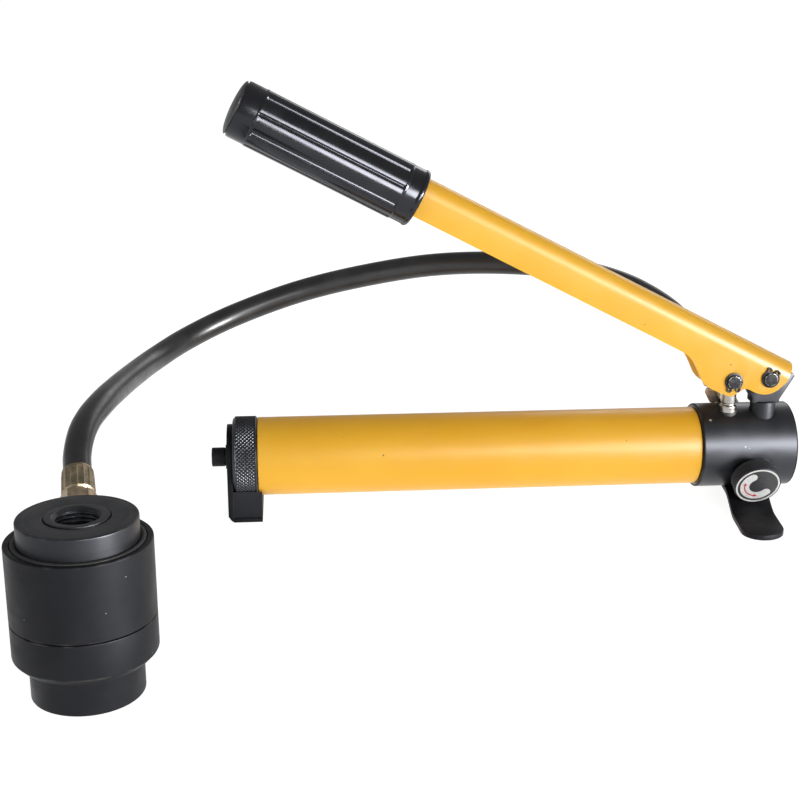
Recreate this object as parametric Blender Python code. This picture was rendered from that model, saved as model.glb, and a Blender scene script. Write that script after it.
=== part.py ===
"""Hydraulic hand pump with a hose and a hollow ram, built as separate pieces.

Lengths are millimetres in the pump's own frame and are turned into metres in one place.
X runs along the reservoir towards the head, Y runs from the lever side to the hose side,
Z is up, and the floor is z = 0.
"""
import math

import bmesh
import bpy
from mathutils import Matrix, Vector

MM = 0.001
GAP = 0.3

# The middle of the whole part stands over the world origin.
FRAME_SHIFT_X = 24.9
FRAME_SHIFT_Y = 90.55

# Pump body
AXIS_Z = 35.2
TUBE_R = 23.8
TUBE_BORE_R = 21.0
TUBE_HALF = 135.0
HEAD_R = 26.0
HEAD_START_X = TUBE_HALF + GAP
HEAD_END_X = 194.0
SPIGOT_R = TUBE_BORE_R - GAP
SPIGOT_LEN = 15.0
CAP_R = 24.6
CAP_END_X = -150.0
HEAD_FLAT_Z = 11.0
SEAL_GROOVE_NEAR = TUBE_HALF - 9.0
SEAL_GROOVE_FAR = TUBE_HALF - 6.0
SEAL_GROOVE_DEPTH = 2.6
FOOT_X = 168.2
FOOT_SKEW = 0.095
FOOT_REACH = 73.0
FOOT_HALF_WIDTH = 12.8
FOOT_THICK = 3.0
FOOT_ROOT = 12.0
FOOT_LANDS = 40.0
FOOT_SCREW_XS = (163.6, 175.0)
FOOT_SCREW_R = 2.3
REAR_PLATE_THICK = 3.2
REAR_PLATE_R = 20.0

# Drilled passages and check valves
PASSAGE_Z = 26.0
DELIVERY_Y = -6.0
PASSAGE_MEET_X = 166.0
SUCTION_BORE_R = 4.0
DELIVERY_BORE_R = 4.5

# Lever, fulcrum post and plunger share one upright plane
LINK_Y = -8.0
PIVOT_X = 175.0
PIVOT_Z = 82.8
LEVER_ANGLE = math.radians(27.2)
PIN_ARM = 22.5
PIN_DROP = 1.4
PIN_R = 4.1
PIN_HOLE_R = 4.4
PIN_HALF = 13.8
SLOT_PIN_R = 3.2
CLIP_THICK = 1.0
LEVER_HALF_WIDTH = 11.0
LEVER_WALL = 3.0
LEVER_TOP = 13.6
LEVER_ARCH_R = 10.0
GRIP_R = 17.4
GRIP_BORE_R = 14.5
GRIP_NEAR = -240.0
GRIP_FAR = -355.5
POST_X = 175.5
POST_R = 7.7
LUG_HALF = 5.0
PLUNGER_X = 153.8
PLUNGER_R = 5.2
PLUNGER_NECK_R = 4.6
PLUNGER_BORE_R = 5.5

# Release valve
KNOB_X = 167.0
KNOB_TILT = math.radians(24.0)
KNOB_R = 14.3
KNOB_NEAR = 27.6
KNOB_FACE = 38.2
SPINDLE_R = 3.5
VALVE_SEAT_REACH = 16.5

# Ram
RAM_X = -210.4
RAM_Y = -220.7
RAM_R = 33.4
RAM_SEAM_Z = 38.2
RAM_TOP_Z = 75.1
RAM_BORE_R = 28.0
RAM_BASE_R = 26.2
RAM_STEP_Z = 17.8
PISTON_R = 27.5
PISTON_TOP_Z = 85.7
SLEEVE_OUT_R = 13.5
SLEEVE_BORE_R = 10.3
INSERT_R = 14.7
INSERT_BORE_R = 9.75
PORT_Z = 58.3
PORT_TURN = math.radians(98.0)
PORT_RISE = math.radians(30.0)
PORT_REACH = 43.4
ELBOW_R = 5.6

# Hose; it leaves each fitting straight before it bends
HOSE_R = 7.1
STRAIGHT = 8.0
FERRULE_LEN = 16.6
NUT_R = 10.0
NUT_END = 26.4
ADAPTER_R = 6.4
ADAPTER_END = 39.0
HOSE_ROUTE = (
    (-221.0, -145.0, 80.0),
    (-221.5, -123.5, 91.5),
    (-219.5, -109.5, 95.5),
    (-215.0, -88.0, 98.0),
    (-210.0, -58.0, 97.5),
    (-204.5, -24.0, 95.5),
    (-196.0, 9.5, 95.0),
    (-178.5, 38.0, 100.0),
    (-152.0, 56.0, 109.0),
    (-109.5, 64.5, 122.5),
    (-65.5, 63.5, 133.0),
    (-20.5, 60.0, 140.0),
    (24.5, 54.0, 141.5),
    (58.0, 48.5, 139.0),
    (90.5, 41.5, 132.0),
    (110.5, 36.0, 123.5),
    (128.5, 30.0, 111.0),
    (147.3, 21.5, 84.4),
)
PUMP_FITTING_AXIS = Vector((0.43, -0.25, -0.865)).normalized()

FINE = 36
MEDIUM = 24
SMALL = 16


# ---------------------------------------------------------------- small helpers
def clear_scene():
    """Remove everything that is already in the file."""
    for thing in list(bpy.data.objects):
        bpy.data.objects.remove(thing, do_unlink=True)


def spot(x, y, z):
    """A point of the pump frame, in metres of the world."""
    return Vector((x + FRAME_SHIFT_X, y + FRAME_SHIFT_Y, z)) * MM


def material(name, colour, metallic, roughness):
    """A plain Principled material."""
    made = bpy.data.materials.new(name)
    made.use_nodes = True
    shader = made.node_tree.nodes["Principled BSDF"]
    shader.inputs["Base Color"].default_value = (*colour, 1.0)
    shader.inputs["Metallic"].default_value = metallic
    shader.inputs["Roughness"].default_value = roughness
    made.diffuse_color = (*colour, 1.0)
    return made


YELLOW = (0.90, 0.48, 0.03)
BLACK = (0.02, 0.02, 0.022)
STEEL = (0.62, 0.62, 0.63)
DARK_STEEL = (0.16, 0.16, 0.17)
ZINC = (0.52, 0.43, 0.25)
BRASS = (0.65, 0.48, 0.20)
RUBBER = (0.03, 0.03, 0.03)
PLASTIC = (0.015, 0.015, 0.017)
WHITE = (0.75, 0.75, 0.75)

LOOKS = {
    "yellow": (YELLOW, 0.0, 0.30),
    "black": (BLACK, 0.3, 0.42),
    "steel": (STEEL, 1.0, 0.25),
    "dark_steel": (DARK_STEEL, 1.0, 0.40),
    "zinc": (ZINC, 1.0, 0.35),
    "brass": (BRASS, 1.0, 0.35),
    "rubber": (RUBBER, 0.0, 0.75),
    "plastic": (PLASTIC, 0.0, 0.20),
    "white": (WHITE, 0.0, 0.45),
}


def add_object(name, mesh, look):
    """Link a mesh as an object with a material of its own."""
    thing = bpy.data.objects.new(name, mesh)
    bpy.context.collection.objects.link(thing)
    thing.data.materials.clear()
    thing.data.materials.append(material(name + "_mat", *LOOKS[look]))
    return thing


def mesh_from(bm, name, smooth_angle=35.0):
    """Close a bmesh into mesh data with outward normals and smooth round faces."""
    bmesh.ops.recalc_face_normals(bm, faces=bm.faces)
    mesh = bpy.data.meshes.new(name)
    bm.to_mesh(mesh)
    bm.free()
    mesh.shade_smooth()
    mesh.set_sharp_from_angle(angle=math.radians(smooth_angle))
    return mesh


def frame_at(origin, axis):
    """The placement whose local Z runs along axis from origin (pump frame)."""
    turn = Vector(axis).normalized().to_track_quat("Z", "Y").to_matrix().to_4x4()
    return Matrix.Translation(spot(*origin)) @ turn


def ring_verts(bm, place, radius, height, steps, phase):
    """The vertices of one profile point carried round the axis."""
    if radius < 1e-6:
        return [bm.verts.new(place @ Vector((0.0, 0.0, height * MM)))]
    ring = []
    for step in range(steps):
        angle = 2.0 * math.pi * step / steps + phase
        local = Vector((radius * math.cos(angle), radius * math.sin(angle), height)) * MM
        ring.append(bm.verts.new(place @ local))
    return ring


def bridge(bm, low, high):
    """Faces between two rings of the same axis."""
    count = max(len(low), len(high))
    if count == 1:
        return
    for step in range(count):
        after = (step + 1) % count
        if len(low) == 1:
            bm.faces.new((low[0], high[after], high[step]))
        elif len(high) == 1:
            bm.faces.new((low[step], low[after], high[0]))
        else:
            bm.faces.new((low[step], low[after], high[after], high[step]))


def turned(name, profile, origin, axis, look, steps=MEDIUM, phase=0.0, smooth_angle=35.0):
    """A turned piece: profile is (radius, height along the axis) in order."""
    bm = bmesh.new()
    place = frame_at(origin, axis)
    rings = [ring_verts(bm, place, radius, height, steps, phase) for radius, height in profile]
    for low, high in zip(rings, rings[1:]):
        bridge(bm, low, high)
    if profile[0][0] > 1e-6:
        bridge(bm, rings[-1], rings[0])
    return add_object(name, mesh_from(bm, name, smooth_angle), look)


def loft(bm, loops):
    """Skin a run of equal loops and close both ends."""
    rows = [[bm.verts.new(corner) for corner in loop] for loop in loops]
    count = len(rows[0])
    for low, high in zip(rows, rows[1:]):
        for step in range(count):
            after = (step + 1) % count
            bm.faces.new((low[step], low[after], high[after], high[step]))
    bm.faces.new(list(reversed(rows[0])))
    bm.faces.new(rows[-1])


def slab(name, outline, lift, low, high, look, smooth_angle=35.0):
    """A flat piece: outline is a list of pairs, lift(u, v, w) makes the point at depth w."""
    bm = bmesh.new()
    loft(bm, [[lift(u, v, depth) for u, v in outline] for depth in (low, high)])
    return add_object(name, mesh_from(bm, name, smooth_angle), look)


def lift_xz(u, v, w):
    """Outline in the upright plane of the lever, depth along Y."""
    return spot(u, w, v)


def lift_yz(u, v, w):
    """Outline across the pump, depth along X."""
    return spot(w, u, v)


def rod(origin, axis, radius, length, steps=24):
    """A plain cylinder used as a cutter."""
    return turned("cutter", [(0, 0), (radius, 0), (radius, length), (0, length)],
                  origin, axis, "steel", steps)


def combine(target, others, operation):
    """Join or cut target with other closed pieces, which are used up."""
    for other in others:
        other.hide_render = True
        other.display_type = "WIRE"
        step = target.modifiers.new("join", "BOOLEAN")
        step.object = other
        step.operation = operation
        step.solver = "EXACT"
        bpy.context.view_layer.update()
        shaped = target.evaluated_get(bpy.context.evaluated_depsgraph_get())
        fresh = bpy.data.meshes.new_from_object(shaped)
        target.modifiers.clear()
        target.data = fresh
        bpy.data.objects.remove(other, do_unlink=True)
    tidy(target)
    return target


def tidy(thing):
    """Merge doubled corners and set the smooth faces again."""
    own = thing.data.materials[0]
    bm = bmesh.new()
    bm.from_mesh(thing.data)
    bmesh.ops.remove_doubles(bm, verts=bm.verts, dist=1e-6)
    bmesh.ops.dissolve_degenerate(bm, dist=1e-6, edges=bm.edges)
    fresh = mesh_from(bm, thing.name)
    fresh.materials.clear()
    fresh.materials.append(own)
    for face in fresh.polygons:
        face.material_index = 0
    thing.data = fresh


def stand_on(thing, x, y, z):
    """Put the object's own origin on the axis it moves about."""
    home = spot(x, y, z)
    thing.data.transform(Matrix.Translation(-home))
    thing.location = home
    return thing


def oring(name, origin, axis, ring_r, thick_r, height, steps=MEDIUM, sides=6):
    """A sealing ring of round section."""
    profile = []
    for side in range(sides):
        angle = 2.0 * math.pi * side / sides
        profile.append((ring_r + thick_r * math.cos(angle), height + thick_r * math.sin(angle)))
    return turned(name, profile, origin, axis, "rubber", steps, smooth_angle=80.0)


# ---------------------------------------------------------------- reservoir
def reservoir_tube():
    profile = [(TUBE_BORE_R, -TUBE_HALF), (TUBE_R - 0.4, -TUBE_HALF), (TUBE_R, -TUBE_HALF + 0.6),
               (TUBE_R, TUBE_HALF - 0.6), (TUBE_R - 0.4, TUBE_HALF), (TUBE_BORE_R, TUBE_HALF)]
    turned("reservoir_tube", profile, (0, 0, AXIS_Z), (1, 0, 0), "yellow", FINE)


def rear_cap():
    face = -CAP_END_X
    start = TUBE_HALF + GAP
    spigot_end = TUBE_HALF - SPIGOT_LEN
    groove = (SEAL_GROOVE_NEAR, SEAL_GROOVE_FAR)
    floor = SPIGOT_R - SEAL_GROOVE_DEPTH
    profile = [(PIN_HOLE_R, spigot_end), (SPIGOT_R - 1, spigot_end), (SPIGOT_R, spigot_end + 1),
               (SPIGOT_R, groove[0]), (floor, groove[0]), (floor, groove[1]),
               (SPIGOT_R, groove[1]), (SPIGOT_R, start), (CAP_R - 0.5, start),
               (CAP_R, start + 0.8), (CAP_R, face - 1.8), (CAP_R - 1.8, face), (PIN_HOLE_R, face)]
    turned("rear_cap", profile, (0, 0, AXIS_Z), (-1, 0, 0), "black", FINE)
    oring("rear_cap_seal", (0, 0, AXIS_Z), (-1, 0, 0), SPIGOT_R - 1.2, 1.1, TUBE_HALF - 7.5)


def rear_foot():
    plate_high = CAP_END_X - GAP
    plate_low = plate_high - REAR_PLATE_THICK
    plate_r = REAR_PLATE_R
    outline = [(-plate_r, 0.0), (plate_r, 0.0)]
    for step in range(13):
        angle = math.pi * step / 12
        outline.append((plate_r * math.cos(angle), AXIS_Z + plate_r * math.sin(angle)))
    foot = slab("rear_foot", outline, lift_yz, plate_low, plate_high, "black")
    block_outline = [(-20.4, 0.0), (20.4, 0.0), (20.4, 2.0), (19.2, 3.0), (19.2, 22.0),
                     (-19.2, 22.0), (-19.2, 3.0), (-20.4, 2.0)]
    block = slab("block", block_outline, lift_yz, plate_low, -133.0, "black")
    cap_room = rod((plate_high, 0, AXIS_Z), (1, 0, 0), CAP_R + 0.5, 40.0, FINE)
    combine(block, [cap_room], "DIFFERENCE")
    combine(foot, [block], "UNION")
    heel = slab("cutter", [(plate_low - 1, -1), (plate_low + 4.5, -1), (plate_low + 1.6, 1.4),
                           (plate_low - 1, 5.0)], lift_xz, -25, 25, "black")
    combine(foot, [heel, rod((plate_low - 5, 0, AXIS_Z), (1, 0, 0), PIN_HOLE_R, 20)], "DIFFERENCE")


def filler_plug():
    seat = -CAP_END_X + GAP + REAR_PLATE_THICK + GAP
    turned("filler_washer", [(4.4, seat), (7.4, seat), (7.4, seat + 0.9), (4.4, seat + 0.9)],
           (0, 0, AXIS_Z), (-1, 0, 0), "rubber", SMALL)
    head = seat + 0.9 + GAP
    profile = [(0, 124.0), (3.2, 124.0), (4.1, 125.0), (4.1, head), (5.8, head),
               (5.8, head + 7.4), (5.0, head + 8.2), (2.6, head + 8.2), (2.6, head + 4.6),
               (0, head + 4.6)]
    plug = turned("filler_plug", profile, (0, 0, AXIS_Z), (-1, 0, 0), "black", SMALL)
    stand_on(plug, CAP_END_X, 0, AXIS_Z)


# ---------------------------------------------------------------- pump head
def knob_axis():
    """Direction from the pump axis out through the release knob."""
    return Vector((0.0, -math.cos(KNOB_TILT), -math.sin(KNOB_TILT)))


def outlet_mouth():
    """Where the outlet fitting's axis meets the top of the head."""
    start = Vector(HOSE_ROUTE[-1])
    return start + PUMP_FITTING_AXIS * 29.0


def pump_head():
    front = HEAD_START_X
    spigot = TUBE_HALF - SPIGOT_LEN
    groove = (SEAL_GROOVE_NEAR, SEAL_GROOVE_FAR)
    floor = SPIGOT_R - SEAL_GROOVE_DEPTH
    profile = [(0, spigot), (SPIGOT_R - 1, spigot), (SPIGOT_R, spigot + 1), (SPIGOT_R, groove[0]),
               (floor, groove[0]), (floor, groove[1]), (SPIGOT_R, groove[1]),
               (SPIGOT_R, front), (HEAD_R - 0.5, front), (HEAD_R, front + 0.7),
               (HEAD_R, HEAD_END_X - 1.4), (HEAD_R - 0.9, HEAD_END_X - 0.3),
               (HEAD_R - 1.8, HEAD_END_X), (0, HEAD_END_X)]
    head = turned("pump_head", profile, (0, 0, AXIS_Z), (1, 0, 0), "black", 48)
    up, along, out = (0, 0, 1), (1, 0, 0), knob_axis()
    mouth = outlet_mouth()
    port_end = mouth + PUMP_FITTING_AXIS * 11.0
    valve_seat = Vector((KNOB_X, 0, AXIS_Z)) + out * VALVE_SEAT_REACH
    delivery = Vector((KNOB_X, DELIVERY_Y, PASSAGE_Z))
    flat = slab("cutter", [(-30, -5), (30, -5), (30, HEAD_FLAT_Z), (-30, HEAD_FLAT_Z)],
                lift_yz, 149.0, 183.0, "black")
    cutters = [
        rod((PLUNGER_X, LINK_Y, 19.0), up, PLUNGER_BORE_R, 60),
        rod((PLUNGER_X, LINK_Y, 46.6), up, 7.4, 3.6),
        rod((POST_X, LINK_Y, 45.0), up, POST_R + GAP, 30, 32),
        rod(mouth - PUMP_FITTING_AXIS * 12, PUMP_FITTING_AXIS, ADAPTER_R + 0.4, 23),
        rod(port_end - PUMP_FITTING_AXIS, Vector((PASSAGE_MEET_X, -4, PASSAGE_Z)) - port_end, 2.0, 26, 12),
        rod((164.0, DELIVERY_Y, PASSAGE_Z), along, DELIVERY_BORE_R, 40),
        rod((150.0, DELIVERY_Y, PASSAGE_Z), along, 1.8, 16, 12),
        rod((110.0, LINK_Y, PASSAGE_Z), along, SUCTION_BORE_R, 30),
        rod((138.0, LINK_Y, PASSAGE_Z), along, 1.6, 16, 12),
        rod(valve_seat, out, SPINDLE_R + 0.4, 30),
        rod(valve_seat + out * 0.5, delivery - valve_seat, 1.3, 8, 12),
        flat,
    ]
    for screw_x in FOOT_SCREW_XS:
        cutters.append(rod((screw_x, 0, 0), up, 2.6, 18.0, 12))
    combine(head, cutters, "DIFFERENCE")
    oring("head_tube_seal", (0, 0, AXIS_Z), (1, 0, 0), SPIGOT_R - 1.2, 1.1, TUBE_HALF - 7.5)
    oring("plunger_seal", (PLUNGER_X, LINK_Y, 48.4), up, 6.3, 0.8, 0, SMALL)


def check_valves():
    """Suction and delivery valves that sit in the head's drilled passages."""
    along = (1, 0, 0)
    turned("suction_seat", [(1.5, 121), (3.7, 121), (3.7, 131), (2.6, 131), (1.5, 129.6)],
           (0, LINK_Y, PASSAGE_Z), along, "brass", SMALL)
    ball("suction_ball", (132.4, LINK_Y, PASSAGE_Z), 2.6)
    ball("delivery_ball", (167.3, DELIVERY_Y, PASSAGE_Z), 3.4)
    coil("delivery_spring", Vector((0, DELIVERY_Y, PASSAGE_Z)), Vector(along), 2.9, 0.5, 171.6, 183.4,
         4, 10)
    turned("delivery_plug", [(0, 184.2), (4.2, 184.2), (4.2, 192.6), (3.6, 193.4), (2.2, 193.4),
                             (2.2, 190.4), (0, 190.4)], (0, DELIVERY_Y, PASSAGE_Z), along,
           "dark_steel", SMALL)
    turned("suction_filter", [(4.4, 119.6), (7.2, 119.6), (7.2, 106.0), (0, 106.0), (0, 107.2),
                              (6.0, 107.2), (6.0, 118.4), (4.4, 118.4)][::-1],
           (0, LINK_Y, PASSAGE_Z), along, "brass", SMALL)


def ball(name, centre, radius):
    """A steel ball."""
    profile = []
    for step in range(9):
        angle = math.pi * step / 8
        profile.append((radius * math.sin(angle) if 0 < step < 8 else 0.0, -radius * math.cos(angle)))
    return turned(name, profile, centre, (0, 0, 1), "steel", 16, smooth_angle=80.0)


def coil(name, origin, axis, coil_r, wire_r, low, high, turns, per_turn=12):
    """A helical spring between two heights of its axis."""
    place = frame_at(origin, axis)
    count = turns * per_turn + 1
    points = []
    for step in range(count):
        angle = 2.0 * math.pi * step / per_turn
        height = low + (high - low) * step / (count - 1)
        local = Vector((coil_r * math.cos(angle), coil_r * math.sin(angle), height)) * MM
        points.append(place @ local)
    return tube_curve(name, points, wire_r, "steel", 1)


def tube_curve(name, points, radius, look, sides=3):
    """A round bar or hose along world points."""
    curve = bpy.data.curves.new(name, "CURVE")
    curve.dimensions = "3D"
    curve.bevel_depth = radius * MM
    curve.bevel_resolution = sides
    curve.use_fill_caps = True
    spline = curve.splines.new("POLY")
    spline.points.add(len(points) - 1)
    for target, point in zip(spline.points, points):
        target.co = (*point, 1.0)
    spline.use_smooth = True
    return add_object(name, curve, look)


def foot_height(y):
    """Underside of the strap: up at the head's flat, then down to the floor."""
    share = max(0.0, min(1.0, (abs(y) - FOOT_ROOT) / (FOOT_LANDS - FOOT_ROOT)))
    return (HEAD_FLAT_Z - GAP - FOOT_THICK) * (1.0 - share * share * (3.0 - 2.0 * share))


def foot_half_width(y):
    """Half width of the strap, rounded off at its ends."""
    past = max(0.0, abs(y) - (FOOT_REACH - FOOT_HALF_WIDTH))
    return max(2.4, math.sqrt(max(0.0, FOOT_HALF_WIDTH ** 2 - past ** 2)))


def front_foot():
    """Bent strap under the head whose two wings stand on the floor, turned slightly askew."""
    thick = FOOT_THICK
    half_run = (FOOT_REACH, 72.2, 70.6, 68.0, 64.8, 61.0, FOOT_LANDS, 36.0, 32.0, 28.0, 24.0, 20.0, 16.0,
                FOOT_ROOT)
    loops = []
    for y in [-y for y in half_run] + list(reversed(half_run)):
        half, low = foot_half_width(y), foot_height(y)
        centre = FOOT_X + FOOT_SKEW * y
        loops.append([spot(centre - half, y, low), spot(centre + half, y, low),
                      spot(centre + half, y, low + thick), spot(centre - half, y, low + thick)])
    bm = bmesh.new()
    loft(bm, loops)
    foot = add_object("front_foot", mesh_from(bm, "front_foot"), "black")
    holes = [rod((screw_x, 0, 0), (0, 0, 1), FOOT_SCREW_R + GAP, 20, 16) for screw_x in FOOT_SCREW_XS]
    combine(foot, holes, "DIFFERENCE")
    under = HEAD_FLAT_Z - 2 * GAP - thick
    for number, screw_x in enumerate(FOOT_SCREW_XS, 1):
        profile = [(0, under - 1.4), (1.6, under - 1.4), (1.6, under - 3.2), (3.1, under - 3.2),
                   (3.8, under - 2.4), (3.8, under), (FOOT_SCREW_R, under), (FOOT_SCREW_R, 17.0),
                   (0, 17.0)]
        turned("foot_screw_%d" % number, profile, (screw_x, 0, 0), (0, 0, 1), "dark_steel", 16)


# ---------------------------------------------------------------- release valve
def release_valve():
    base = (KNOB_X, 0.0, AXIS_Z)
    out = knob_axis()
    knob_profile = [(SPINDLE_R + GAP, KNOB_NEAR), (12.2, KNOB_NEAR), (13.0, KNOB_NEAR + 1.4),
                    (KNOB_R, KNOB_NEAR + 2.2), (KNOB_R, KNOB_FACE - 0.6), (KNOB_R - 0.4, KNOB_FACE),
                    (13.8, KNOB_FACE), (13.8, KNOB_FACE - 1.2), (SPINDLE_R + GAP, KNOB_FACE - 1.2)]
    knob = turned("release_knob", knob_profile, base, out, "black", MEDIUM)
    dial = turned("knob_dial", [(0, KNOB_FACE - 0.9), (13.5, KNOB_FACE - 0.9),
                                (13.5, KNOB_FACE - 0.1), (0, KNOB_FACE - 0.1)],
                  base, out, "white", MEDIUM)
    seal = 23.5
    spindle = turned("release_spindle",
                     [(0, 17.2), (1.0, 17.6), (2.8, 19.6), (SPINDLE_R, 20.0),
                      (SPINDLE_R, seal - 0.9), (2.3, seal - 0.9), (2.3, seal + 0.9),
                      (SPINDLE_R, seal + 0.9), (SPINDLE_R, KNOB_FACE - 1.8), (0, KNOB_FACE - 1.8)],
                     base, out, "steel", SMALL)
    ring = oring("spindle_seal", base, out, 3.15, 0.5, seal, SMALL)
    for piece in (knob, dial, spindle, ring):
        stand_on(piece, *base)


# ---------------------------------------------------------------- lever linkage
def lever_point(along, above, across):
    """A point of the lever: along its length from the pivot, above the pivot line, across."""
    cos_a, sin_a = math.cos(LEVER_ANGLE), math.sin(LEVER_ANGLE)
    x = PIVOT_X + along * cos_a + above * sin_a
    z = PIVOT_Z - along * sin_a + above * cos_a
    return spot(x, LINK_Y + across, z)


def channel_loop(depth):
    """Section of the pressed channel: arched top, two cheeks, open below."""
    outer, inner = LEVER_HALF_WIDTH, LEVER_HALF_WIDTH - LEVER_WALL
    arch, inner_arch = LEVER_ARCH_R, LEVER_ARCH_R - LEVER_WALL
    loop = [(-outer, -depth)]
    for step in range(7):
        angle = math.pi - 0.5 * math.pi * step / 6
        loop.append((-outer + arch + arch * math.cos(angle), -arch + arch * math.sin(angle)))
    for step in range(7):
        angle = 0.5 * math.pi - 0.5 * math.pi * step / 6
        loop.append((outer - arch + arch * math.cos(angle), -arch + arch * math.sin(angle)))
    loop += [(outer, -depth), (inner, -depth)]
    for step in range(5):
        angle = 0.5 * math.pi * step / 4
        loop.append((outer - arch + inner_arch * math.cos(angle),
                     -arch + inner_arch * math.sin(angle)))
    for step in range(5):
        angle = 0.5 * math.pi + 0.5 * math.pi * step / 4
        loop.append((-outer + arch + inner_arch * math.cos(angle),
                     -arch + inner_arch * math.sin(angle)))
    loop.append((-inner, -depth))
    return loop


def lever():
    depths = [(-351.0, 22.3), (-120.0, 22.8), (-56.0, 23.0), (-50.5, 24.2), (-46.0, 26.5),
              (-41.5, 29.8), (-37.0, 33.2), (-33.0, 34.9), (-28.0, 35.2), (-21.0, 34.8),
              (-15.6, 33.8), (-13.4, 30.4), (-10.8, 26.2), (-8.4, 25.4), (-3.0, 25.2),
              (2.0, 23.9), (5.6, 21.4), (8.2, 17.8), (9.8, 13.6), (10.6, 11.4)]
    loops = []
    for along, depth in depths:
        loops.append([lever_point(along, LEVER_TOP + down, across)
                      for across, down in channel_loop(depth)])
    bm = bmesh.new()
    loft(bm, loops)
    body = add_object("lever", mesh_from(bm, "lever", 30.0), "yellow")
    holes = [rod((x, LINK_Y - 20, z), (0, 1, 0), PIN_HOLE_R, 40, 24)
             for x, z in ((PIVOT_X, PIVOT_Z), (PIVOT_X - PIN_ARM, PIVOT_Z - PIN_DROP))]
    combine(body, holes, "DIFFERENCE")
    stand_on(body, PIVOT_X, LINK_Y, PIVOT_Z)


def ribbed_ring(bm, along, outer, grooved, steps=40):
    """One outline round the grip, with grooves between its ribs when asked."""
    ring = []
    for step in range(steps):
        angle = 2.0 * math.pi * step / steps
        in_groove = grooved and step % 4 == 0
        radius = outer - (1.3 if in_groove else 0.0)
        ring.append(bm.verts.new(lever_point(along, radius * math.cos(angle),
                                             radius * math.sin(angle))))
    return ring


def grip():
    """Ribbed sleeve with a plain collar at each end, and the disc that closes it."""
    near, far = GRIP_NEAR, GRIP_FAR
    rows = [(near, GRIP_BORE_R, False), (near, GRIP_R - 0.8, False), (near - 0.9, GRIP_R, False),
            (near - 11.0, GRIP_R, False), (near - 12.2, GRIP_R, True), (far + 13.2, GRIP_R, True),
            (far + 12.0, GRIP_R, False), (far + 2.4, GRIP_R - 0.2, False),
            (far + 0.8, GRIP_R - 1.2, False), (far, GRIP_R - 2.4, False), (far, GRIP_BORE_R, False)]
    bm = bmesh.new()
    rings = [ribbed_ring(bm, *row) for row in rows]
    for low, high in zip(rings, rings[1:] + rings[:1]):
        bridge(bm, low, high)
    sleeve = add_object("grip_sleeve", mesh_from(bm, "grip_sleeve", 30.0), "plastic")
    stand_on(sleeve, PIVOT_X, LINK_Y, PIVOT_Z)
    bm = bmesh.new()
    disc_r = GRIP_BORE_R - GAP
    rings = []
    for along, radius in ((far + 1.0, disc_r - 0.4), (far + 1.4, disc_r), (far + 3.8, disc_r)):
        rings.append(ribbed_ring(bm, along, radius, False, MEDIUM))
    for low, high in zip(rings, rings[1:]):
        bridge(bm, low, high)
    bm.faces.new(rings[0])
    bm.faces.new(list(reversed(rings[-1])))
    disc = add_object("grip_end_disc", mesh_from(bm, "grip_end_disc"), "plastic")
    stand_on(disc, PIVOT_X, LINK_Y, PIVOT_Z)


def pin_profile(middle_r):
    """Half outline of a clipped pin, with its two clip grooves."""
    groove = (LEVER_HALF_WIDTH + 0.1, LEVER_HALF_WIDTH + GAP + CLIP_THICK + 0.2)
    shoulder = LEVER_HALF_WIDTH - LEVER_WALL - GAP
    half = [(middle_r, 0.0), (middle_r, shoulder), (PIN_R, shoulder), (PIN_R, groove[0]),
            (3.4, groove[0]), (3.4, groove[1]), (PIN_R, groove[1]), (PIN_R, PIN_HALF - 0.5),
            (PIN_R - 0.5, PIN_HALF), (0, PIN_HALF)]
    if middle_r == PIN_R:
        half = half[3:]
    mirrored = [(radius, -height) for radius, height in reversed(half)]
    if half[0][1] == 0.0:
        mirrored = mirrored[:-1]
    return mirrored + half


def clip_outline(turn):
    """A retaining clip: an open ring with two ears."""
    inner, outer, ear = 3.8, 5.8, 7.4
    steps = 14
    opening = math.radians(32.0)
    outline = []
    for step in range(steps + 1):
        angle = turn + opening + (2 * math.pi - 2 * opening) * step / steps
        outline.append((outer * math.cos(angle), outer * math.sin(angle)))
    ears = ((ear, -opening), (ear, -opening * 0.35), (inner, -opening * 0.55))
    for radius, angle in ears:
        outline.append((radius * math.cos(turn + angle), radius * math.sin(turn + angle)))
    for step in range(1, steps):
        angle = turn - opening - (2 * math.pi - 2 * opening) * step / steps
        outline.append((inner * math.cos(angle), inner * math.sin(angle)))
    for radius, angle in reversed(ears):
        outline.append((radius * math.cos(turn - angle), radius * math.sin(turn - angle)))
    return outline


def clipped_pin(name, x, z, middle_r, turn):
    """A pin across the lever with a retaining clip at each end."""
    pieces = [turned(name + "_pin", pin_profile(middle_r), (x, LINK_Y, z), (0, 1, 0),
                     "dark_steel", 18)]
    start = LEVER_HALF_WIDTH + GAP
    outline = [(x + u, z + v) for u, v in clip_outline(turn)]
    for side, low in (("front", LINK_Y - start - CLIP_THICK), ("back", LINK_Y + start)):
        pieces.append(slab("%s_clip_%s" % (name, side), outline, lift_xz, low, low + CLIP_THICK,
                           "dark_steel"))
    for piece in pieces:
        stand_on(piece, PIVOT_X, LINK_Y, PIVOT_Z)


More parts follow.
